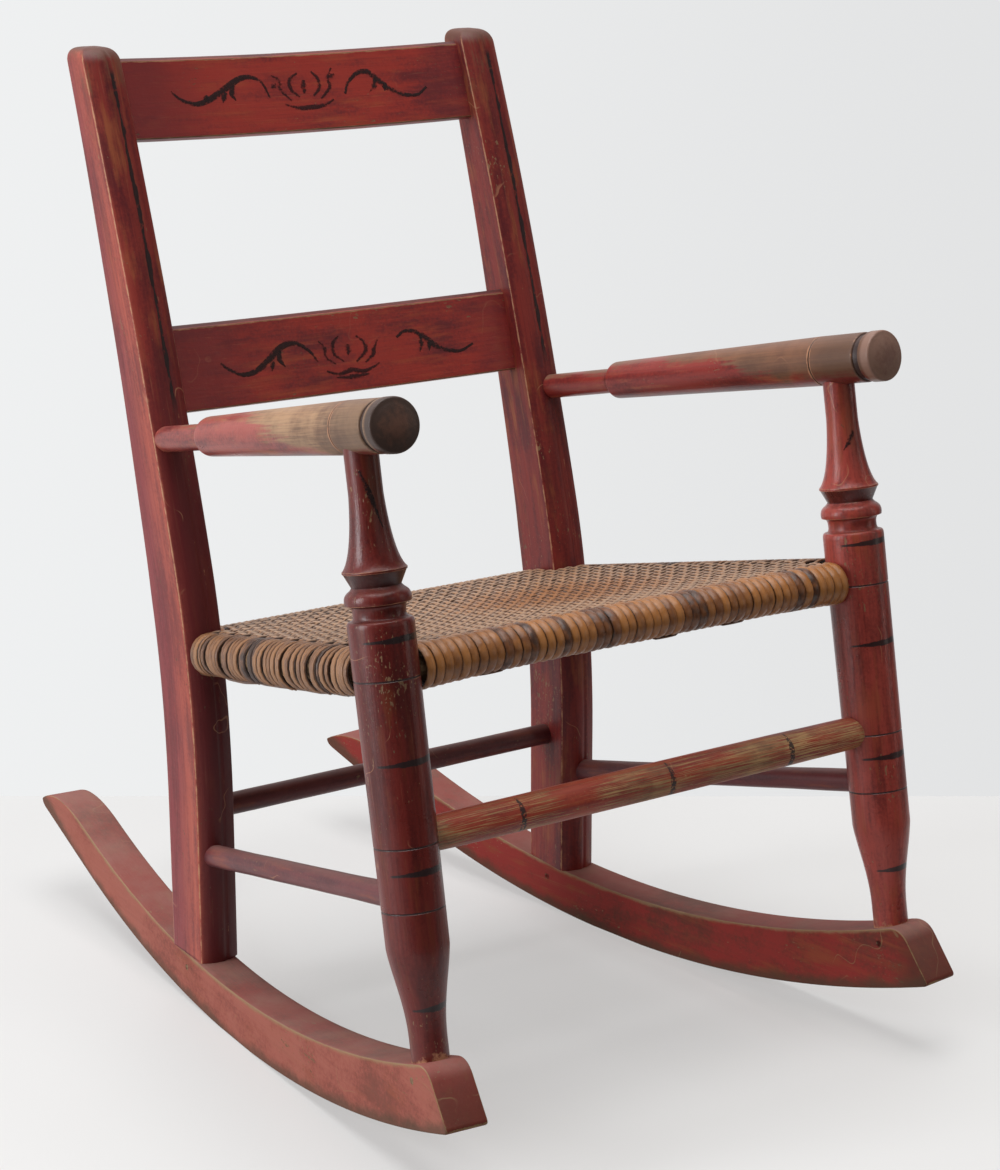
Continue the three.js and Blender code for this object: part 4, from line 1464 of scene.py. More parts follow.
@dataclass
class Stroke:
    """One stroke of a brush: a line through its points, with its width at the start, middle and end."""

    points: tuple[Point, ...]
    widths: tuple[float, float, float] = (0.0008, 0.0024, 0.0006)

    def outline(self, steps: int = 26) -> list[tuple[Vector, float]]:
        """Returns the places along the stroke, each with half of the width there."""
        knots = [Vector(point) for point in self.points]
        knots = [2 * knots[0] - knots[1], *knots, 2 * knots[-1] - knots[-2]]
        spans = len(knots) - 3
        made = []
        for share in spread(0.0, 1.0, steps):
            place = min(share * spans, spans - 1e-6)
            index, t = int(place), place - int(place)
            a, b, c, d = knots[index:index + 4]
            middle = 0.5 * (2 * b + (c - a) * t + (2 * a - 5 * b + 4 * c - d) * t**2
                            + (3 * b - a - 3 * c + d) * t**3)
            first, second, third = self.widths
            early = share < 0.5
            near, far = (first, second) if early else (second, third)
            width = lerp(near, far, smooth(2 * share if early else 2 * share - 1))
            made.append((middle, width / 2))
        return made


def ribbon(mould: Mould, stroke: Stroke, lay: Callable[[float, float, float], Sequence[float]],
           lift: float = 0.00012) -> None:
    """Lays a stroke's thin skin of paint on a surface.

    Args:
        mould: The mesh that takes it.
        stroke: The stroke, in the surface's own two coordinates.
        lay: Puts two coordinates and a height above the surface into the piece's frame.
        lift: The height of the paint.
    """
    path = stroke.outline()
    across = (-1.0, -0.5, 0.0, 0.5, 1.0)

    def put(column: int, row: int) -> Sequence[float]:
        """Returns a point of the paint's skin."""
        middle, half = path[row]
        ahead = path[min(row + 1, len(path) - 1)][0] - path[max(row - 1, 0)][0]
        square = Vector((-ahead.y, ahead.x)).normalized()
        share = across[column]
        point = middle + square * half * share
        return lay(point.x, point.y, lift * (1.2 - share**2))

    def mark(column: int, row: int) -> tuple[float, float, float]:
        """Returns how near a point is to the stroke's edge."""
        return (abs(across[column]), 0.0, 0.0)

    mould.skin(len(across) - 1, len(path) - 1, put, mark)


@dataclass
class Rungs:
    """The stretchers between the posts, each a long round stick."""

    posts: FrontPosts
    back: BackPosts
    side_rear_x: float = 0.1496
    side_rear_z: float = 0.1055
    side_front_z: float = 0.166
    side_width: float = 0.014
    side_end_width: float = 0.015
    front_z: float = 0.1996
    front_width: float = 0.0214
    front_end_width: float = 0.02
    back_z: float = 0.13
    back_setback: float = 0.02
    back_width: float = 0.0145

    def stick(self, node: str, start: Vector, end: Vector, width: float, end_width: float, slot: str,
              material: Material) -> None:
        """Builds one rung.

        Args:
            node: Its CAD node.
            start: The middle of its first end.
            end: The middle of its last end.
            width: Its width at the middle.
            end_width: Its width at each end.
            slot: The record's slot.
            material: Its paint.
        """
        length = (end - start).length
        sunk = 0.003
        profile = [(0.0, -sunk), (end_width / 2, -sunk)]
        for reach in spread(0.0, length, 60):
            share = max(0.0, sin(pi * reach / length)) ** 0.5
            sway = noise.noise(Vector((reach * 22, length * 50, 0.0))) * 0.00025
            profile.append((lerp(end_width, width, share) / 2 + sway, reach))
        profile += [(end_width / 2, length + sunk), (0.0, length + sunk)]
        mould = Mould()
        mould.spin(profile, 40)
        mould.mark_edges(0.2, 0.6)
        mould.settle()
        mould.piece(f"{node}_round", material, slot, (node,), along(start, end))

    def surface(self, side: Side, z: float, towards: Vector) -> Vector:
        """Returns the point where a rung leaves a front post for another point."""
        axis = self.posts.at(side, z)
        return axis + (towards - axis).normalized() * self.posts.swell_width / 2

    def build(self, dark: Material, worn: Material) -> None:
        """Builds the four stretchers.

        Args:
            dark: The paint of the side and back ones.
            worn: The finish of the front one.
        """
        for side in Side:
            rear = Vector((side.value * self.side_rear_x, self.back.face(self.side_rear_z), self.side_rear_z))
            front = self.surface(side, self.side_front_z, rear)
            self.stick(side.node("side_stretcher"), front, rear, self.side_width, self.side_end_width,
                       "dark_painted_wood", dark)
        ends = [self.surface(side, self.front_z, self.posts.at(other, self.front_z))
                for side, other in ((Side.RIGHT, Side.LEFT), (Side.LEFT, Side.RIGHT))]
        self.stick("front_stretcher", *ends, self.front_width, self.front_end_width, "worn_wood", worn)
        inner = self.back.x - self.back.width / 2
        y = self.back.face(self.back_z) + self.back_setback
        ends = [Vector((side.value * inner, y, self.back_z)) for side in Side]
        self.stick("back_stretcher", *ends, self.back_width, self.back_width, "dark_painted_wood", dark)


@dataclass
class WovenSeat:
    """The seat: warps wound round the front and back rails, and wefts woven through them two over, two
    under, and wound round the side rails."""

    posts: FrontPosts
    back: BackPosts
    front_z: float = 0.2925
    rear_z: float = 0.236
    front_roll: float = 0.0143
    rear_roll: float = 0.0131
    side_rear_x: float = 0.1455
    dish: float = 0.0045
    warps: int = 53
    corner_warps: int = 2
    wefts: int = 46
    strand: float = 0.006
    thickness: float = 0.0028
    relief: float = 1.35
    tuck: float = 0.0038
    first_weft: float = 0.009
    last_weft: float = 0.006
    dark_runs: float = 0.1
    dark_warps: tuple[int, ...] = (9, 12, 16, 20, 21, 22, 32, 33, 46, 48)
    front_ends: tuple[float, ...] = (-0.11, 0.018, 0.07, 0.122)
    tucked: float = 0.003
    dice: random.Random = field(default_factory=lambda: random.Random(7))

    def __post_init__(self) -> None:
        """Works out the seat's plane."""
        self.front_y = self.posts.at(Side.LEFT, self.front_z).y
        self.rear_y = self.back.face(self.rear_z) + self.back.depth(self.rear_z) / 2
        self.pitch = atan((self.rear_z - self.front_z) / (self.rear_y - self.front_y))
        self.length = (self.rear_y - self.front_y) / cos(self.pitch)
        self.front_half = self.posts.at(Side.LEFT, self.front_z).x
        self.post_half = self.front_half - self.posts.bead_width / 2
        self.front_stop = self.posts.bead_width / 2 + self.strand / 2
        self.rear_half = self.back.x - self.back.width / 2
        self.rear_stop = (self.back.face(self.rear_z) - self.front_y) / cos(self.pitch) - self.strand

    @property
    def frame(self) -> Matrix:
        """Returns the seat's frame: X across, Y back along its fall and Z square to it."""
        place = Matrix.Translation((0.0, self.front_y, self.front_z))
        return place @ Matrix.Rotation(self.pitch, 4, "X")

    def rail_x(self, v: float) -> float:
        """Returns how far the side rails stand from the middle."""
        return lerp(self.front_half, self.side_rear_x, v / self.length)

    def roll(self, v: float) -> float:
        """Returns the radius of the outside of the weave round its rails."""
        return lerp(self.front_roll, self.rear_roll, min(max(v / self.length, 0.0), 1.0))

    def level(self, x: float, v: float) -> float:
        """Returns how high the middle of the upper web lies."""
        across = 1 - min(abs(x) / self.rail_x(v), 1.0) ** 2
        deep = min(max(v / self.length, 0.0), 1.0)
        return self.roll(v) - self.thickness - self.dish * across * 4 * deep * (1 - deep)

    def lift(self, share: float, v: float) -> float:
        """Returns how far the underside is drawn up behind the front roll, at a share of the half width."""
        return self.tuck * (1 - share**4) * (1 - smooth(v / 0.06))

    @staticmethod
    def wave(step: float) -> float:
        """Returns how high a strand rides, from 1 over its neighbours to -1 under them."""
        return min(max(1.15 * cos(tau * (step - 0.5) / 4), -1.0), 1.0)

    def tones(self, count: int, low: float, high: float) -> list[float]:
        """Draws the tones of neighbouring strands, with runs of one to three dark ones among them.

        Args:
            count: How many strands.
            low: The palest tone.
            high: The darkest of the common tones.

        Returns:
            The tones.
        """
        made: list[float] = []
        while len(made) < count:
            if self.dice.random() < self.dark_runs:
                made += [self.dice.uniform(0.85, 1.05) for _ in range(self.dice.randint(1, 3))]
            made += [self.dice.uniform(low, high) for _ in range(self.dice.randint(1, 4))]
        return made[:count]

    def weft_place(self, row: int) -> float:
        """Returns how far back a weft lies."""
        return lerp(self.first_weft, self.length - self.last_weft, row / (self.wefts - 1))

    def weft_number(self, v: float) -> float:
        """Returns the number of the weft at a place, with its fraction."""
        return (v - self.first_weft) / (self.length - self.first_weft - self.last_weft) * (self.wefts - 1)

    def warp_share(self, column: int) -> float:
        """Returns the share of the half width at which a warp lies."""
        edge = (self.post_half - self.strand / 2) / self.front_half
        return lerp(-edge, edge, column / (self.warps - 1))

    def warp_number(self, share: float) -> float:
        """Returns the number of the warp at a share of the half width, with its fraction."""
        edge = (self.post_half - self.strand / 2) / self.front_half
        return (share + edge) / (2 * edge) * (self.warps - 1)

    def lay(self, mould: Mould, path: list[Step], closed: bool, tints: Sequence[float],
            width: float, webs: Sequence[float] | None = None) -> None:
        """Lays one strand.

        Args:
            mould: The mesh that takes it.
            path: Its middle, its outward direction and how high it rides, place by place.
            closed: Whether it meets itself.
            tints: Its tone, place by place.
            width: Its width.
            webs: How much of each place lies in the open weave, where strands are narrow, leave gaps and get
                more painted shade along their sides.
        """
        webs = webs or [0.0] * len(path)
        sides = 8
        count = len(path)
        flat = min(self.thickness, width)

        def put(column: int, row: int) -> Vector:
            """Returns a point of the strand's skin."""
            here, out, _ = path[row % count]
            ahead = path[(row + 1) % count][0] if closed or row + 1 < count else here
            behind = path[(row - 1) % count][0] if closed or row > 0 else here
            run = (ahead - behind).normalized()
            across = run.cross(out).normalized()
            outward = across.cross(run)
            turn = tau * column / sides
            c, s = cos(turn), sin(turn)
            wide = c * width / 2 * lerp(1.0, 0.76, webs[row % count])
            tall = s * flat / 2
            return here + across * wide + outward * tall

        def mark(column: int, row: int) -> tuple[float, float, float]:
            """Returns how rubbed and highlighted, how deep in painted shade and how dark a point is."""
            ride = path[row % count][2]
            brow = sin(tau * column / sides)
            # rub: the top of a high strand, worn and also a painted highlight; nook: painted shade where it
            # dips under others and along its sides
            rub = max(0.0, ride) * max(0.0, brow)
            bound = lerp(0.55, 1.0, webs[row % count])
            nook = max(0.0, -ride) * 0.95 + max(0.0, bound - brow) * 1.25
            return (rub, min(nook, 1.0), tints[row % count])

        verts = mould.skin(sides, count if closed else count - 1, put, mark)
        run = [0.0]
        for first, second in zip(path, path[1:] + path[:1]):
            run.append(run[-1] + (second[0] - first[0]).length)
        shift = self.dice.uniform(0.0, 9.0)
        per_row = sides + 1
        for index, vert in enumerate(verts):
            row, column = divmod(index, per_row)
            turn = tau * column / sides
            vert[mould.local] = (cos(turn) * width / 2 + shift, sin(turn) * flat / 2, run[row] + shift)

    def warp(self, mould: Mould, column: int, tone: float) -> None:
        """Winds one warp round the front and back rails.

        Args:
            mould: The mesh that takes it.
            column: Its number.
            tone: Its tone.
        """
        share = self.warp_share(column)
        jitter = self.dice.uniform(-0.0003, 0.0003)
        path = []
        tints = []
        webs = []
        common = self.dice.uniform(0.1, 0.5)

        def point(v: float, up: float) -> Vector:
            """Returns a place on the warp, and notes its tone."""
            tints.append(lerp(tone, common, smooth(v / 0.016)))
            sway = 0.001 * smooth(v / 0.02) * noise.noise(Vector((v * 70, column * 2.3, 0.0)))
            return Vector((share * self.rail_x(v) + jitter + sway, v, up))

        tight = self.thickness / 2
        tuck = self.lift(share, 0.0)
        for v in spread(0.0, self.length, 94):
            ride = self.wave(column + self.weft_number(v)) if v > 0.004 else 1.0
            ease = smooth(v / 0.006) * smooth((self.length - v) / 0.006)
            ride_here = lerp(1.0, ride, ease)
            up = self.level(share * self.rail_x(v), v) + tight * lerp(1.0, self.relief, ease) * ride_here
            path.append((point(v, up), UP, ride_here * smooth(v / 0.012)))
            webs.append(smooth((v - 0.003) / 0.008))
        rear = self.rear_roll - tight
        for turn in spread(0.0, pi, 9)[1:-1]:
            out = Vector((0.0, sin(turn), cos(turn)))
            path.append((point(self.length, 0.0) + out * rear, out, 0.2))
        for v in spread(self.length, 0.0, 48):
            ride = self.wave(column + self.weft_number(v) + 1)
            ease = smooth(v / 0.012) * smooth((self.length - v) / 0.012)
            up = -self.level(share * self.rail_x(v), v) - tight * lerp(1.0, ride, ease)
            up += self.lift(share, v)
            path.append((point(v, up), -UP, 0.0))
        front = self.front_roll - tight
        bulge = self.dice.uniform(-0.0003, 0.0007)
        for turn in spread(0.0, pi, 12)[1:-1]:
            out = Vector((0.0, -sin(turn), -cos(turn)))
            reach = front + bulge * sin(turn) - tuck * max(0.0, cos(turn))
            path.append((point(0.0, 0.0) + out * reach, out, 0.4 * sin(turn)))
        webs += [0.0] * (len(path) - len(webs))
        self.lay(mould, path, True, tints, self.strand * self.dice.uniform(0.97, 1.06), webs)

    def corner_warp(self, mould: Mould, side: Side, rank: int) -> None:
        """Lays one of the short warps that fill the seat between its posts, beside each side rail."""
        edge = (self.post_half - self.strand / 2) / self.front_half
        share = side.value * lerp(edge, 1.0, (rank + 1) / (self.corner_warps + 1.6))
        number = self.warp_number(share)
        for face in (1, -1):
            path = []
            for v in spread(self.front_stop, self.rear_stop, 78):
                ride = self.wave(number + self.weft_number(v) + (0 if face > 0 else 1))
                x = share * self.rail_x(v)
                up = self.level(x, v) + self.thickness / 2 * self.relief * ride
                end = min(v - self.front_stop, self.rear_stop - v)
                up -= 0.004 * (1 - smooth(end / 0.008))
                path.append((Vector((x, v, face * up)), face * UP, ride if face > 0 else 0.0))
            tone = self.dice.uniform(0.1, 0.6)
            self.lay(mould, path, False, [tone] * len(path), self.strand * 0.9, [1.0] * len(path))

    def weft(self, mould: Mould, row: int, tone: float) -> None:
        """Winds one weft round the side rails, or from post to post where the posts stand in its way.

        Args:
            mould: The mesh that takes it.
            row: Its number.
            tone: Its tone.
        """
        v = self.weft_place(row)
        rail = self.rail_x(v)
        tight = self.thickness / 2
        blocked = v < self.front_stop or v > self.rear_stop
        limit = rail
        if blocked:
            limit = min(self.post_half, self.rear_half) if v > self.rear_stop else self.post_half
        jitter = self.dice.uniform(-0.0003, 0.0003)
        drop = self.drop(v) + self.dice.uniform(0.0, 0.0007)
        slip = self.dice.uniform(-0.0026, 0.0026)
        wander = self.dice.uniform(0.1, 0.5)

        def ride_at(x: float, face: int) -> float:
            """Returns how high the weft rides, from -1 to 1."""
            return -self.wave(self.warp_number(x / rail) + row + (0 if face > 0 else 1))

        runs = []
        for face, count in ((1, 108), (-1, 54)):
            run = []
            for x in spread(-limit, limit, count):
                ride = ride_at(x, face)
                ease = smooth((limit - abs(x)) / 0.008)
                ride = lerp(1.0, ride, ease)
                up = self.level(x, v) + tight * lerp(1.0, self.relief, ease) * ride
                if blocked:
                    up -= 0.003 * (1 - ease)
                if face < 0:
                    up -= self.lift(x / rail, v)
                sway = 0.0014 * ease * noise.noise(Vector((x * 70, row * 3.7, 4.0)))
                place = Vector((x, v + jitter + sway, face * up))
                run.append((place, face * UP, ride * ease if face > 0 else 0.0))
            runs.append(run)
        if blocked:
            for run in runs:
                self.lay(mould, run, False, [wander] * len(run), self.strand * 0.95, [1.0] * len(run))
            return
        path = list(runs[0])
        tints = [lerp(wander, tone, smooth(1 - (limit - abs(place.x)) / 0.014)) for place, _, _ in path]
        radius = self.roll(v) - tight
        for sign, following in ((1, list(reversed(runs[1]))), (-1, [])):
            turns = spread(0.0, pi, 10)[1:-1]
            for turn in turns if sign > 0 else [pi - t for t in turns]:
                out = Vector((sign * sin(turn), 0.0, cos(turn)))
                lower = drop * max(0.0, -cos(turn)) + drop * 0.5 * sin(turn)
                lean = slip * sin(turn) ** 2
                centre = Vector((sign * rail, v + jitter + lean, 0.0))
                path.append((centre + out * (radius + lower), out, 0.3 * sin(turn)))
            path += following
        webs = [lerp(0.6, 1.0, smooth((limit - abs(place.x)) / 0.012)) for place, _, _ in runs[0]]
        webs += [0.6] * (len(path) - len(webs))
        tints += [tone] * (len(path) - len(tints))
        width = self.strand * self.dice.choice((0.55, 0.75, 0.85, 0.95, 1.0))
        self.lay(mould, path, True, tints, width, webs)

    def drop(self, v: float) -> float:
        """Returns how far the wefts hang below a side rail."""
        unevenness = 0.0009 * noise.noise(Vector((v * 45, 0.0, 0.0)))
        return 0.0014 * sin(pi * v / self.length) + unevenness

    def loose_strand(self, mould: Mould, under: Callable[[float], Step], sag: float,
                     steps: int, tone: float, width: float) -> None:
        """Hangs one loose strand along the underside of the wraps.

        Args:
            mould: The mesh that takes it.
            under: Gives the rail's middle, the way out of it and how far to go, at a share of the strand.
            sag: How far the strand hangs below the wraps.
            steps: The number of steps along it.
            tone: Its tone.
            width: Its width.
        """
        path = []
        for share in spread(0.0, 1.0, steps):
            middle, out, reach = under(share)
            hung = sag * sin(pi * share) ** 0.7 - self.tucked * (1 - smooth(6 * min(share, 1 - share)))
            path.append((middle + out * (reach + hung), out, 0.0))
        self.lay(mould, path, False, [tone] * len(path), width)

    def side_loops(self, mould: Mould, side: Side) -> None:
        """Hangs five loose strands one after the other along a side."""
        out = Vector((side.value * 0.35, 0.0, -1.0)).normalized()
        for rank in range(5):
            start = 0.012 + 0.05 * rank + self.dice.uniform(0.0, 0.006)
            end = start + self.dice.uniform(0.056, 0.072)

            def under(share: float) -> Step:
                """Returns a place under the side rail's wraps."""
                v = lerp(start, end, share)
                rail = Vector((side.value * self.rail_x(v), v, 0.0))
                return rail, out, self.roll(v) + self.drop(v) - 0.0016

            self.loose_strand(mould, under, self.dice.uniform(0.0008, 0.0022), 22, 0.9, 0.0026)

    def front_loops(self, mould: Mould) -> None:
        """Hangs a few thin loose strands along the front."""
        out = Vector((0.0, -0.35, -1.0)).normalized()
        for middle in self.front_ends:

            def under(share: float) -> Step:
                """Returns a place under the front rail's wraps."""
                x = middle + lerp(-0.012, 0.012, share)
                return Vector((x, 0.0, 0.0)), out, self.front_roll - self.tuck

            self.loose_strand(mould, under, self.dice.uniform(0.0002, 0.0008), 16, 0.7, 0.0014)

    def build(self, warp: Material, weft: Material) -> None:
        """Builds the warps and the wefts.

        Args:
            warp: The warps' finish.
            weft: The wefts' finish.
        """
        mould = Mould()
        for column in range(self.warps):
            dark = column in self.dark_warps
            self.warp(mould, column, self.dice.uniform(0.85, 1.0) if dark else self.dice.uniform(0.05, 0.6))
        for side in Side:
            for rank in range(self.corner_warps):
                self.corner_warp(mould, side, rank)
        mould.close()
        mould.piece("woven_seat_warps", warp, "woven_fibre", ("woven_seat",), self.frame)
        mould = Mould()
        for row, tone in enumerate(self.tones(self.wefts, 0.15, 0.75)):
            self.weft(mould, row, tone)
        for side in Side:
            self.side_loops(mould, side)
        self.front_loops(mould)
        mould.close()
        mould.piece("woven_seat_wefts", weft, "woven_fibre", ("woven_seat",), self.frame)


@dataclass
class Studio:
    """The camera, the pale floor and the soft light."""

    camera_place: Colour = (-1.0268, -1.5022, 0.7504)
    heading: float = radians(-35.83)
    fall: float = radians(75.204)
    lens: float = 88.49
    floor: float = 6.0
    floor_end: float = 2.18
    floor_colour: Colour = (0.78, 0.77, 0.76)
    floor_pale: Colour = (0.87, 0.86, 0.85)
    floor_even: float = 0.5
    floor_bounce: Colour = (0.4, 0.4, 0.4)
    floor_dim: Colour = (0.06, 0.06, 0.06)
    backdrop: Colour = (0.87, 0.88, 0.885)
    backdrop_dim: Colour = (0.76, 0.765, 0.77)
    backdrop_left: Colour = (-0.81, 0.585, 0.0)
    room_dim: Colour = (0.25, -0.95, -0.1)
    room_glow: float = 0.03
    fill_front: Colour = (0.055, 0.05, 0.045)
    fill_behind: Colour = (0.34, 0.36, 0.38)

    def camera(self) -> None:
        """Stands the camera where the photograph was taken from."""
        data = bpy.data.cameras.new("camera")
        data.lens = self.lens
        data.sensor_width = 36.0
        made = bpy.data.objects.new("camera", data)
        made.location = self.camera_place
        made.rotation_euler = (self.fall, 0.0, self.heading)
        bpy.context.scene.collection.objects.link(made)
        bpy.context.scene.camera = made

    def ground(self) -> None:
        """Lays the floor, whose far edge crosses the view behind the chair."""
        bm = bmesh.new()
        bmesh.ops.create_grid(bm, x_segments=1, y_segments=1, size=self.floor / 2)
        centre = Vector((self.camera_place[0], self.camera_place[1], 0.0))
        turn = Matrix.Rotation(self.heading, 4, "Z")
        reach = self.floor_end - self.floor / 2
        bm.transform(Matrix.Translation(centre) @ turn @ Matrix.Translation((0, reach, 0)))
        mesh = bpy.data.meshes.new("floor")
        bm.to_mesh(mesh)
        bm.free()
        mesh.materials.append(self.floor_paint())
        made = bpy.data.objects.new("floor", mesh)
        bpy.context.scene.collection.objects.link(made)

    @staticmethod
    def rays(graph: Graph) -> tuple[Wire, Wire]:
        """Returns masks of what the eye sees, through glass too, and of what a gloss mirrors."""
        path = graph.node("LightPath")
        eye, glass, gloss = (
            Wire(graph, path.outputs[f"Is {kind} Ray"]) for kind in ("Camera", "Transmission", "Glossy")
        )
        return eye.top(glass), gloss

    def floor_paint(self) -> Material:
        """Returns the floor's material: pale to the eye and in gloss, and dim as a light from below."""
        coat = Coat("floor")
        clear, glossy = self.rays(coat)
        place = coat.out("TexCoord", output="Object")
        dim = coat.vector("DOT_PRODUCT", place, self.room_dim).ramp(0.38, 0.75)
        seen = clear.top(glossy * (1.0 - dim))
        bounce = coat.mix(dim, self.floor_bounce, self.floor_dim)
        made = coat.finish({"Base Color": coat.mix(seen, bounce, self.floor_colour), "Roughness": 0.55,
                            "Specular IOR Level": 0.2})
        matt = Wire(coat, coat.tree.nodes["Principled BSDF"].outputs[0])
        pale = coat.out("Emission", {"Color": self.floor_pale, "Strength": 1.0})
        surface = coat.out("MixShader", {0: seen * self.floor_even, 1: matt, 2: pale})
        coat.feed(coat.tree.nodes["Material Output"], {0: surface})
        return made

    def sky(self) -> None:
        """Gives the world a pale backdrop to the eye and in gloss, and a lower light elsewhere."""
        world = bpy.data.worlds.new("studio")
        bpy.context.scene.world = world
        world.use_nodes = True
        world.node_tree.nodes.clear()
        graph = Graph(world.node_tree)
        way = graph.out("TexCoord", output="Generated")
        clear, glossy = self.rays(graph)
        left = graph.vector("DOT_PRODUCT", way, self.backdrop_left)
        behind = graph.vector("DOT_PRODUCT", way, self.room_dim)
        wall = graph.mix(left.ramp(-0.25, 0.25), self.backdrop_dim, self.backdrop)
        gloss = graph.mix(behind.ramp(0.5, -0.5), (self.room_glow,) * 3, wall)
        light = graph.mix(behind.ramp(0.4, -0.6), self.fill_front, self.fill_behind)
        seen, shone, lit = (
            graph.out("Background", {"Color": colour, "Strength": 1.0}) for colour in (wall, gloss, light)
        )
        dull = graph.out("MixShader", {0: glossy, 1: lit, 2: shone})
        graph.node("OutputWorld", {"Surface": graph.out("MixShader", {0: clear, 1: dull, 2: seen})})

    @staticmethod
    def lamp(name: str, place: Sequence[float], aim: Sequence[float], size: Sequence[float], power: float,
             colour: Colour = (1.0, 1.0, 1.0)) -> None:
        """Hangs one soft lamp.

        Args:
            name: Its name.
            place: Where it hangs.
            aim: The point that it faces.
            size: Its width and height.
            power: Its power in watts.
            colour: Its colour.
        """
        data = bpy.data.lights.new(name, "AREA")
        data.shape = "RECTANGLE"
        data.size, data.size_y = size
        data.energy = power
        data.color = colour
        made = bpy.data.objects.new(name, data)
        made.location = place
        made.rotation_euler = (Vector(aim) - Vector(place)).to_track_quat("-Z", "Y").to_euler()
        bpy.context.scene.collection.objects.link(made)

    def build(self) -> None:
        """Sets up the view, the floor and every lamp."""
        self.camera()
        self.ground()
        self.sky()
        middle = (0.0, 0.0, 0.3)
        cool, warm = (0.93, 0.97, 1.0), (1.0, 0.94, 0.87)
        self.lamp("left_window", (-2.1, 0.35, 0.8), middle, (0.7, 1.4), 31.0, cool)
        self.lamp("top_box", (-0.2, 0.0, 4.0), middle, (3.4, 3.4), 140.0)
        self.lamp("right_strip", (1.5, -1.2, 0.8), middle, (0.25, 1.5), 3.0, warm)
        self.lamp("front_card", (0.4, -2.4, 1.2), middle, (1.6, 1.2), 3.0, warm)
        scene = bpy.context.scene
        scene.view_settings.view_transform = "Standard"


# The brushwork of the slats, in hundredths of their half length and of their height

THICK = (0.002, 0.0046, 0.0018)
DROP = (0.0022, 0.0044, 0.001)
DAB = (0.0024, 0.0058, 0.0016)
SOFT = (0.0016, 0.0036, 0.0016)

UPPER_SCROLLS = (
    Stroke(((-70, 57), (-66, 47), (-58, 40), (-50, 44), (-41, 55), (-31, 68),
            (-24, 70), (-18, 63), (-15, 43)), THICK),
    Stroke(((-39, 52), (-41, 46), (-42, 40)), DROP),
    Stroke(((-34, 61), (-36, 51), (-34.5, 42)), DROP),
    Stroke(((-50, 50), (-52, 42)), DROP),
    Stroke(((28, 42), (31, 56), (37, 67), (43, 68), (47, 60), (53, 46),
            (61, 36), (69, 34), (75, 43)), THICK),
    Stroke(((46.5, 60), (45.5, 50), (42, 42)), DROP),
    Stroke(((52, 53), (51, 42)), DROP),
)
UPPER_FLOWER = (
    Stroke(((6, 63), (5, 46)), DAB),
    Stroke(((3, 72), (-2, 64), (-2, 52), (2, 42)), SOFT),
    Stroke(((11, 73), (14, 64), (14, 52), (10, 42)), SOFT),
    Stroke(((-12, 71), (-8, 64), (-8, 52), (-3, 38)), SOFT),
    Stroke(((-10, 60), (-13, 55)), DROP),
    Stroke(((23, 76), (20, 64), (20, 52), (14, 38)), SOFT),
    Stroke(((24, 68), (20, 64)), DROP),
    Stroke(((-7, 34), (-1, 29), (6, 28), (15, 30), (21, 36)), SOFT),
)
LOWER_SCROLLS = (
    Stroke(((-70, 51), (-66, 43), (-59, 35), (-51, 37), (-43, 48), (-36, 60),
            (-29, 65), (-23, 61), (-18, 51), (-15, 39)), THICK),
    Stroke(((-40, 46), (-41, 41), (-42, 35)), DROP),
    Stroke(((-35.5, 57), (-36.5, 48), (-34, 38)), DROP),
    Stroke(((32, 57), (37, 63), (43, 61), (48, 53), (53, 42), (59, 35),
            (67, 31), (75, 38)), THICK),
    Stroke(((45.5, 57), (45.5, 46), (44, 36)), DROP),
    Stroke(((50.5, 49), (49.5, 36)), DROP),
)
LOWER_FLOWER = (
    Stroke(((3.5, 56), (3, 43)), DAB),
    Stroke(((-1, 67), (-5, 58), (-5, 46), (0, 36)), SOFT),
    Stroke(((9, 65), (13, 56), (13, 45), (7, 34)), SOFT),
    Stroke(((-13, 64), (-10, 54), (-10, 44), (-5, 34)), SOFT),
    Stroke(((21, 57), (18, 47), (17, 40), (12, 32)), SOFT),
    Stroke(((-11, 27), (-4, 22), (3, 25), (11, 22), (20, 29)), SOFT),
    Stroke(((-6, 18), (4, 17), (13, 18)), SOFT),
)


@dataclass(frozen=True)
class SlatPlan:
    """Where a slat sits and what is painted on it."""

    name: str
    bottom: float
    top: float
    setback: float
    scrolls: tuple[Stroke, ...]
    flower: tuple[Stroke, ...]


SLAT_PLANS = (
    SlatPlan("slat_upper", 0.5558, 0.6068, 0.0065, UPPER_SCROLLS, UPPER_FLOWER),
    SlatPlan("slat_lower", 0.3864, 0.4403, 0.009, LOWER_SCROLLS, LOWER_FLOWER),
)


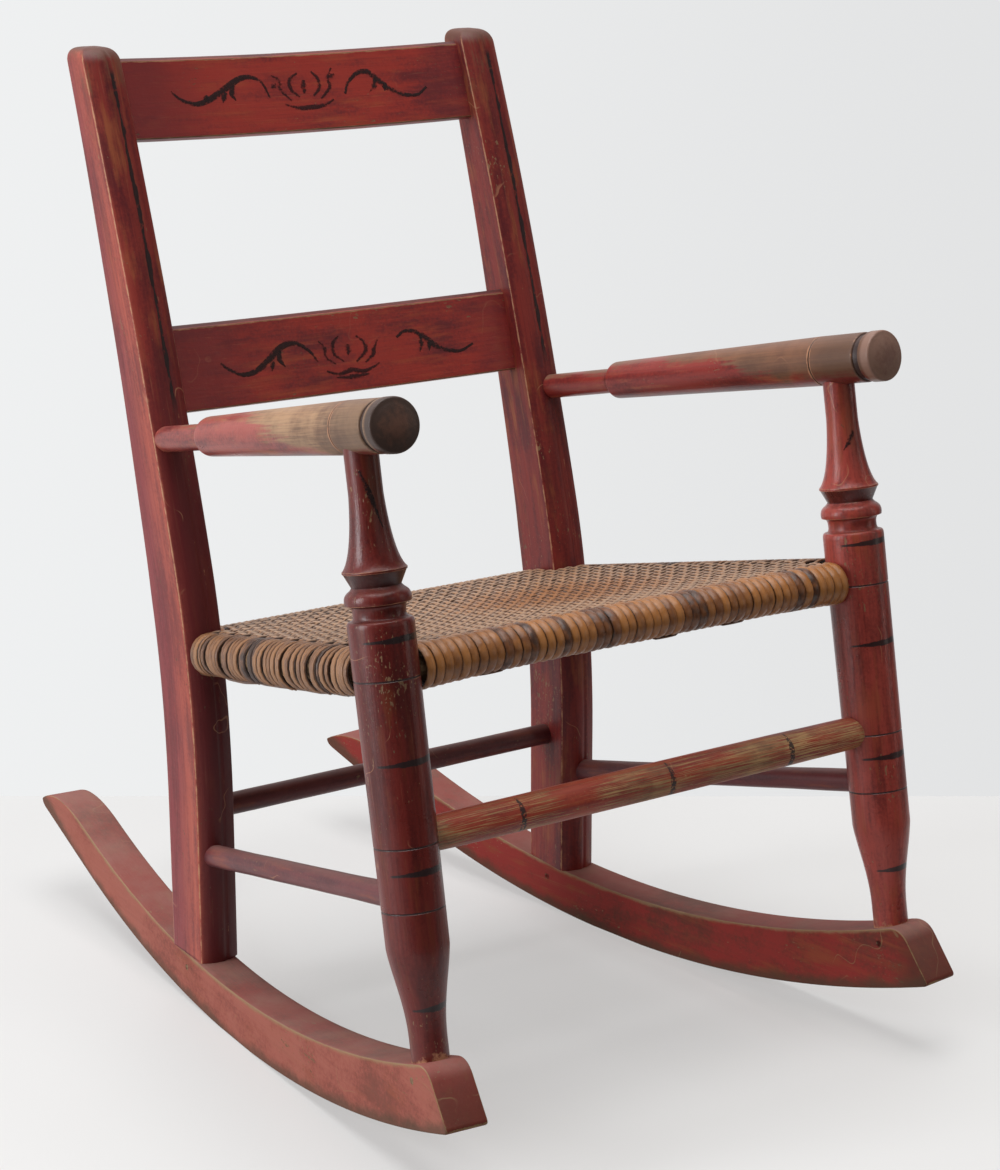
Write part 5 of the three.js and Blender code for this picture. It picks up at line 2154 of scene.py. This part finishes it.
@dataclass
class Chair:
    """The whole chair, from its rockers up."""

    effects: Effects = field(default_factory=Effects)

    def paint(self, name: str, **changes: object) -> Material:
        """Returns one piece's own mixing of the old paint."""
        return AgedPaint(name, **changes).material(self.effects)

    def ornament(self, slats: Slats, plan: SlatPlan, part: str, strokes: Iterable[Stroke],
                 material: Material) -> None:
        """Paints some of the strokes of one slat.

        Args:
            slats: The slats' shapes.
            plan: The slat.
            part: The name of what the strokes draw.
            strokes: The strokes, in hundredths of the half length and of the height.
            material: The black paint.
        """
        half = slats.half_length()
        place = slats.frame(plan.bottom, plan.top, plan.setback)
        height = (plan.top - plan.bottom) / place.col[2].z

        def lay(x: float, z: float, lift: float) -> Vector:
            """Returns a point on the slat's front, or a little before it."""
            return Vector((x, slats.front(x, z, plan.bottom) - lift, z))

        mould = Mould()
        for stroke in strokes:
            points = tuple((x / 100 * half, z / 100 * height) for x, z in stroke.points)
            ribbon(mould, Stroke(points, stroke.widths), lay)
        mould.settle(lambda co: (co.y, co.z, co.x))
        mould.piece(f"{plan.name}_{part}", material, "painted_wood", (), place)

    def build_frame(self, back: BackPosts, rockers: Rockers, posts: FrontPosts, arms: Arms) -> None:
        """Builds and dresses the rockers, the posts and the arms."""
        # Where the two sides differ: heights of the posts' bands, their colours, and the arms' wear
        bands = {Side.RIGHT: (0.032, 0.1105, 0.1726, 0.242), Side.LEFT: (0.038, 0.1105, 0.1825, 0.2458)}
        bodies = {Side.RIGHT: ((0.15, 0.019, 0.015), (0.08, 0.01, 0.009)),
                  Side.LEFT: ((0.4, 0.062, 0.046), (0.165, 0.026, 0.022))}
        warms = {Side.RIGHT: (0.16, 0.036, 0.016), Side.LEFT: (0.34, 0.07, 0.034)}
        caps = {Side.RIGHT: Cap(0.0105, (0.06, 0.034, 0.026), (0.15, 0.068, 0.046)),
                Side.LEFT: Cap(0.0105, (0.27, 0.15, 0.11), (0.19, 0.09, 0.065))}
        timber = {Side.RIGHT: (0.43, 0.262, 0.14), Side.LEFT: (0.22, 0.112, 0.058)}
        rears = {Side.RIGHT: (0.36, 0.068, 0.052), Side.LEFT: (0.28, 0.034, 0.026)}
        stretches = {Side.RIGHT: Bare(0.08, 0.2, upward=0.5), Side.LEFT: Bare(0.03, 0.195, 0.85, 0.75)}
        for side in Side:
            seed = 3.0 + side.value
            out = (float(side.value), 0.0, 0.0)
            crest = rockers.depth + rockers.top_radius
            soils = (Soil(rockers.top_radius, rockers.top_lowest, crest, 0.003, (0.3, 0.19, 0.1), 0.75),
                     Soil(rockers.sole_radius, rockers.sole_lowest, rockers.sole_radius, 0.009,
                          (0.075, 0.045, 0.026), 0.75))
            # Rockers: outer faces painted paler, for faded paint and for the side lamp's light; the toe end
            # painted darker
            rocker_paint = self.paint(side.node("rocker_paint"), seed=seed, dusting=0.6, outward=out,
                                      fade=0.85, faded=(0.37, 0.12, 0.085), worn=(0.3, 0.19, 0.09),
                                      gloss=0.58, sheen=0.16, grain=0.35, soils=soils,
                                      deep=(0.11, 0.03, 0.02), glooms=(Gloom(-0.303, -0.262, 0.75),))
            rockers.build(side, rocker_paint)
            line = Stripe(x=0.0033, half=0.0016, low=0.385, high=0.602)
            gloom = (Gloom(0.613, 0.6, 0.8),)
            # The right post is painted darker from 0.5 m down, most of all below 0.3 m
            if side is Side.RIGHT:
                gloom += (Gloom(0.3, 0.5, 0.85),)
            # Back posts: outer faces painted paler, for faded paint and for the side lamp's light, turning
            # purple-maroon towards the back
            back_paint = self.paint(side.node("back_post_paint"), seed=seed + 4, outward=out, fade=0.95,
                                    warm=(0.33, 0.09, 0.036), deep=(0.11, 0.015, 0.018), glooms=gloom,
                                    paint=(0.24, 0.03, 0.024), faded=(0.42, 0.086, 0.056),
                                    rear=(0.24, 0.04, 0.044), sheen=0.28, stripes=(line,), scratches=0.55,
                                    bare=(Bare(0.665, 0.545, 0.5),))
            back.build(side, rockers, back_paint)
            scribed = tuple(Ring(place, 0.8 * posts.ring_half, 0.75) for place in posts.rings())
            post_paint = self.paint(side.node("front_post_paint"), seed=seed + 8, gloss=0.28,
                                    paint=bodies[side][0], deep=bodies[side][1], warm=warms[side],
                                    bands=tuple(Band(place) for place in bands[side]), rings=scribed,
                                    flecks=0.725, reach=0.4)
            posts.build(side, arms.post_top, post_paint)
            groove = arms.dome + arms.rim + arms.groove / 2
            arm_paint = self.paint(side.node("arm_finish"), seed=seed + 12, bare=(stretches[side],),
                                   wood=timber[side], glooms=(Gloom(0.02, 0.085, 0.6),), dusting=0.14,
                                   paint=rears[side], warm=(0.42, 0.13, 0.06), grain=0.6, gloss=0.3,
                                   scratches=0.2, cap=caps[side],
                                   rings=(Ring(arms.ring), Ring(groove, 0.0016, 0.85)))
            arms.build(side, arm_paint)

    def build_brushwork(self, slats: Slats, posts: FrontPosts, arms: Arms) -> None:
        """Builds the slats and paints them, with the leaves on the front posts."""
        firm = BrushBlack("firm_black").material(self.effects)
        faint = BrushBlack("faint_black", (0.05, 0.012, 0.014), hold=0.29, cover=0.82).material(self.effects)
        for plan in SLAT_PLANS:
            # Each slat is painted darker towards both of its ends
            ends = (Gloom(-0.125, -0.035, 0.7), Gloom(0.13, 0.085, 0.5))
            paint = self.paint(f"{plan.name}_paint", seed=plan.bottom * 40, paint=(0.41, 0.042, 0.03),
                               deep=(0.17, 0.024, 0.028), warm=(0.43, 0.075, 0.035), glooms=ends, reach=0.62,
                               grain=0.7, scratches=0.12)
            slats.build(plan.name, plan.bottom, plan.top, plan.setback, paint)
            self.ornament(slats, plan, "scrolls", plan.scrolls, firm)
            self.ornament(slats, plan, "flower", plan.flower, faint)
        turns = {
            Side.RIGHT: ((-136, 0.3365), (-115, 0.3255), (-100, 0.3165), (-83, 0.304)),
            Side.LEFT: ((-97, 0.3155), (-112, 0.31), (-136, 0.304)),
        }
        for side, places in turns.items():
            points = tuple((radians(turn) * posts.flare_reach, height) for turn, height in places)
            posts.leaf(side, arms.post_top, Stroke(points, (0.003, 0.0038, 0.0008)), firm)

    def build(self) -> None:
        """Builds and dresses every part."""
        back = BackPosts()
        rockers = Rockers(shift=back.shift)
        posts = FrontPosts(rockers)
        arms = Arms(posts, back)
        self.build_frame(back, rockers, posts, arms)
        self.build_brushwork(Slats(back), posts, arms)
        dark = self.paint("stretcher_paint", paint=(0.15, 0.032, 0.034),
                          deep=(0.075, 0.018, 0.022), dusting=0.35)
        stripes = tuple(Band(reach, 0.0018, gap=0.4, turn=radians(-90)) for reach in (0.057, 0.167, 0.261))
        worn = self.paint("front_stretcher_finish", streaks=0.165, paint=(0.4, 0.06, 0.03),
                          warm=(0.46, 0.13, 0.045), deep=(0.2, 0.025, 0.022), wood=(0.56, 0.35, 0.15),
                          bands=stripes)
        Rungs(posts, back).build(dark, worn)
        warp = Cane("cane_warp").material(self.effects)
        weft = Cane("cane_weft", light=(0.33, 0.15, 0.062), brown=(0.15, 0.064, 0.03), greying=0.75,
                    grey=(0.43, 0.285, 0.19), gloss=0.34).material(self.effects)
        WovenSeat(posts, back).build(warp, weft)
        bare = BareWood().material(self.effects)
        for name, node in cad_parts.items():
            if "rail" in name or "peg" in name:
                node.data.materials.clear()
                node.data.materials.append(bare)


def main() -> None:
    """Builds the studio and the chair."""
    logging.basicConfig(level=logging.INFO)
    random.seed(11)
    Studio().build()
    Chair().build()


if __name__ == "__main__":
    main()
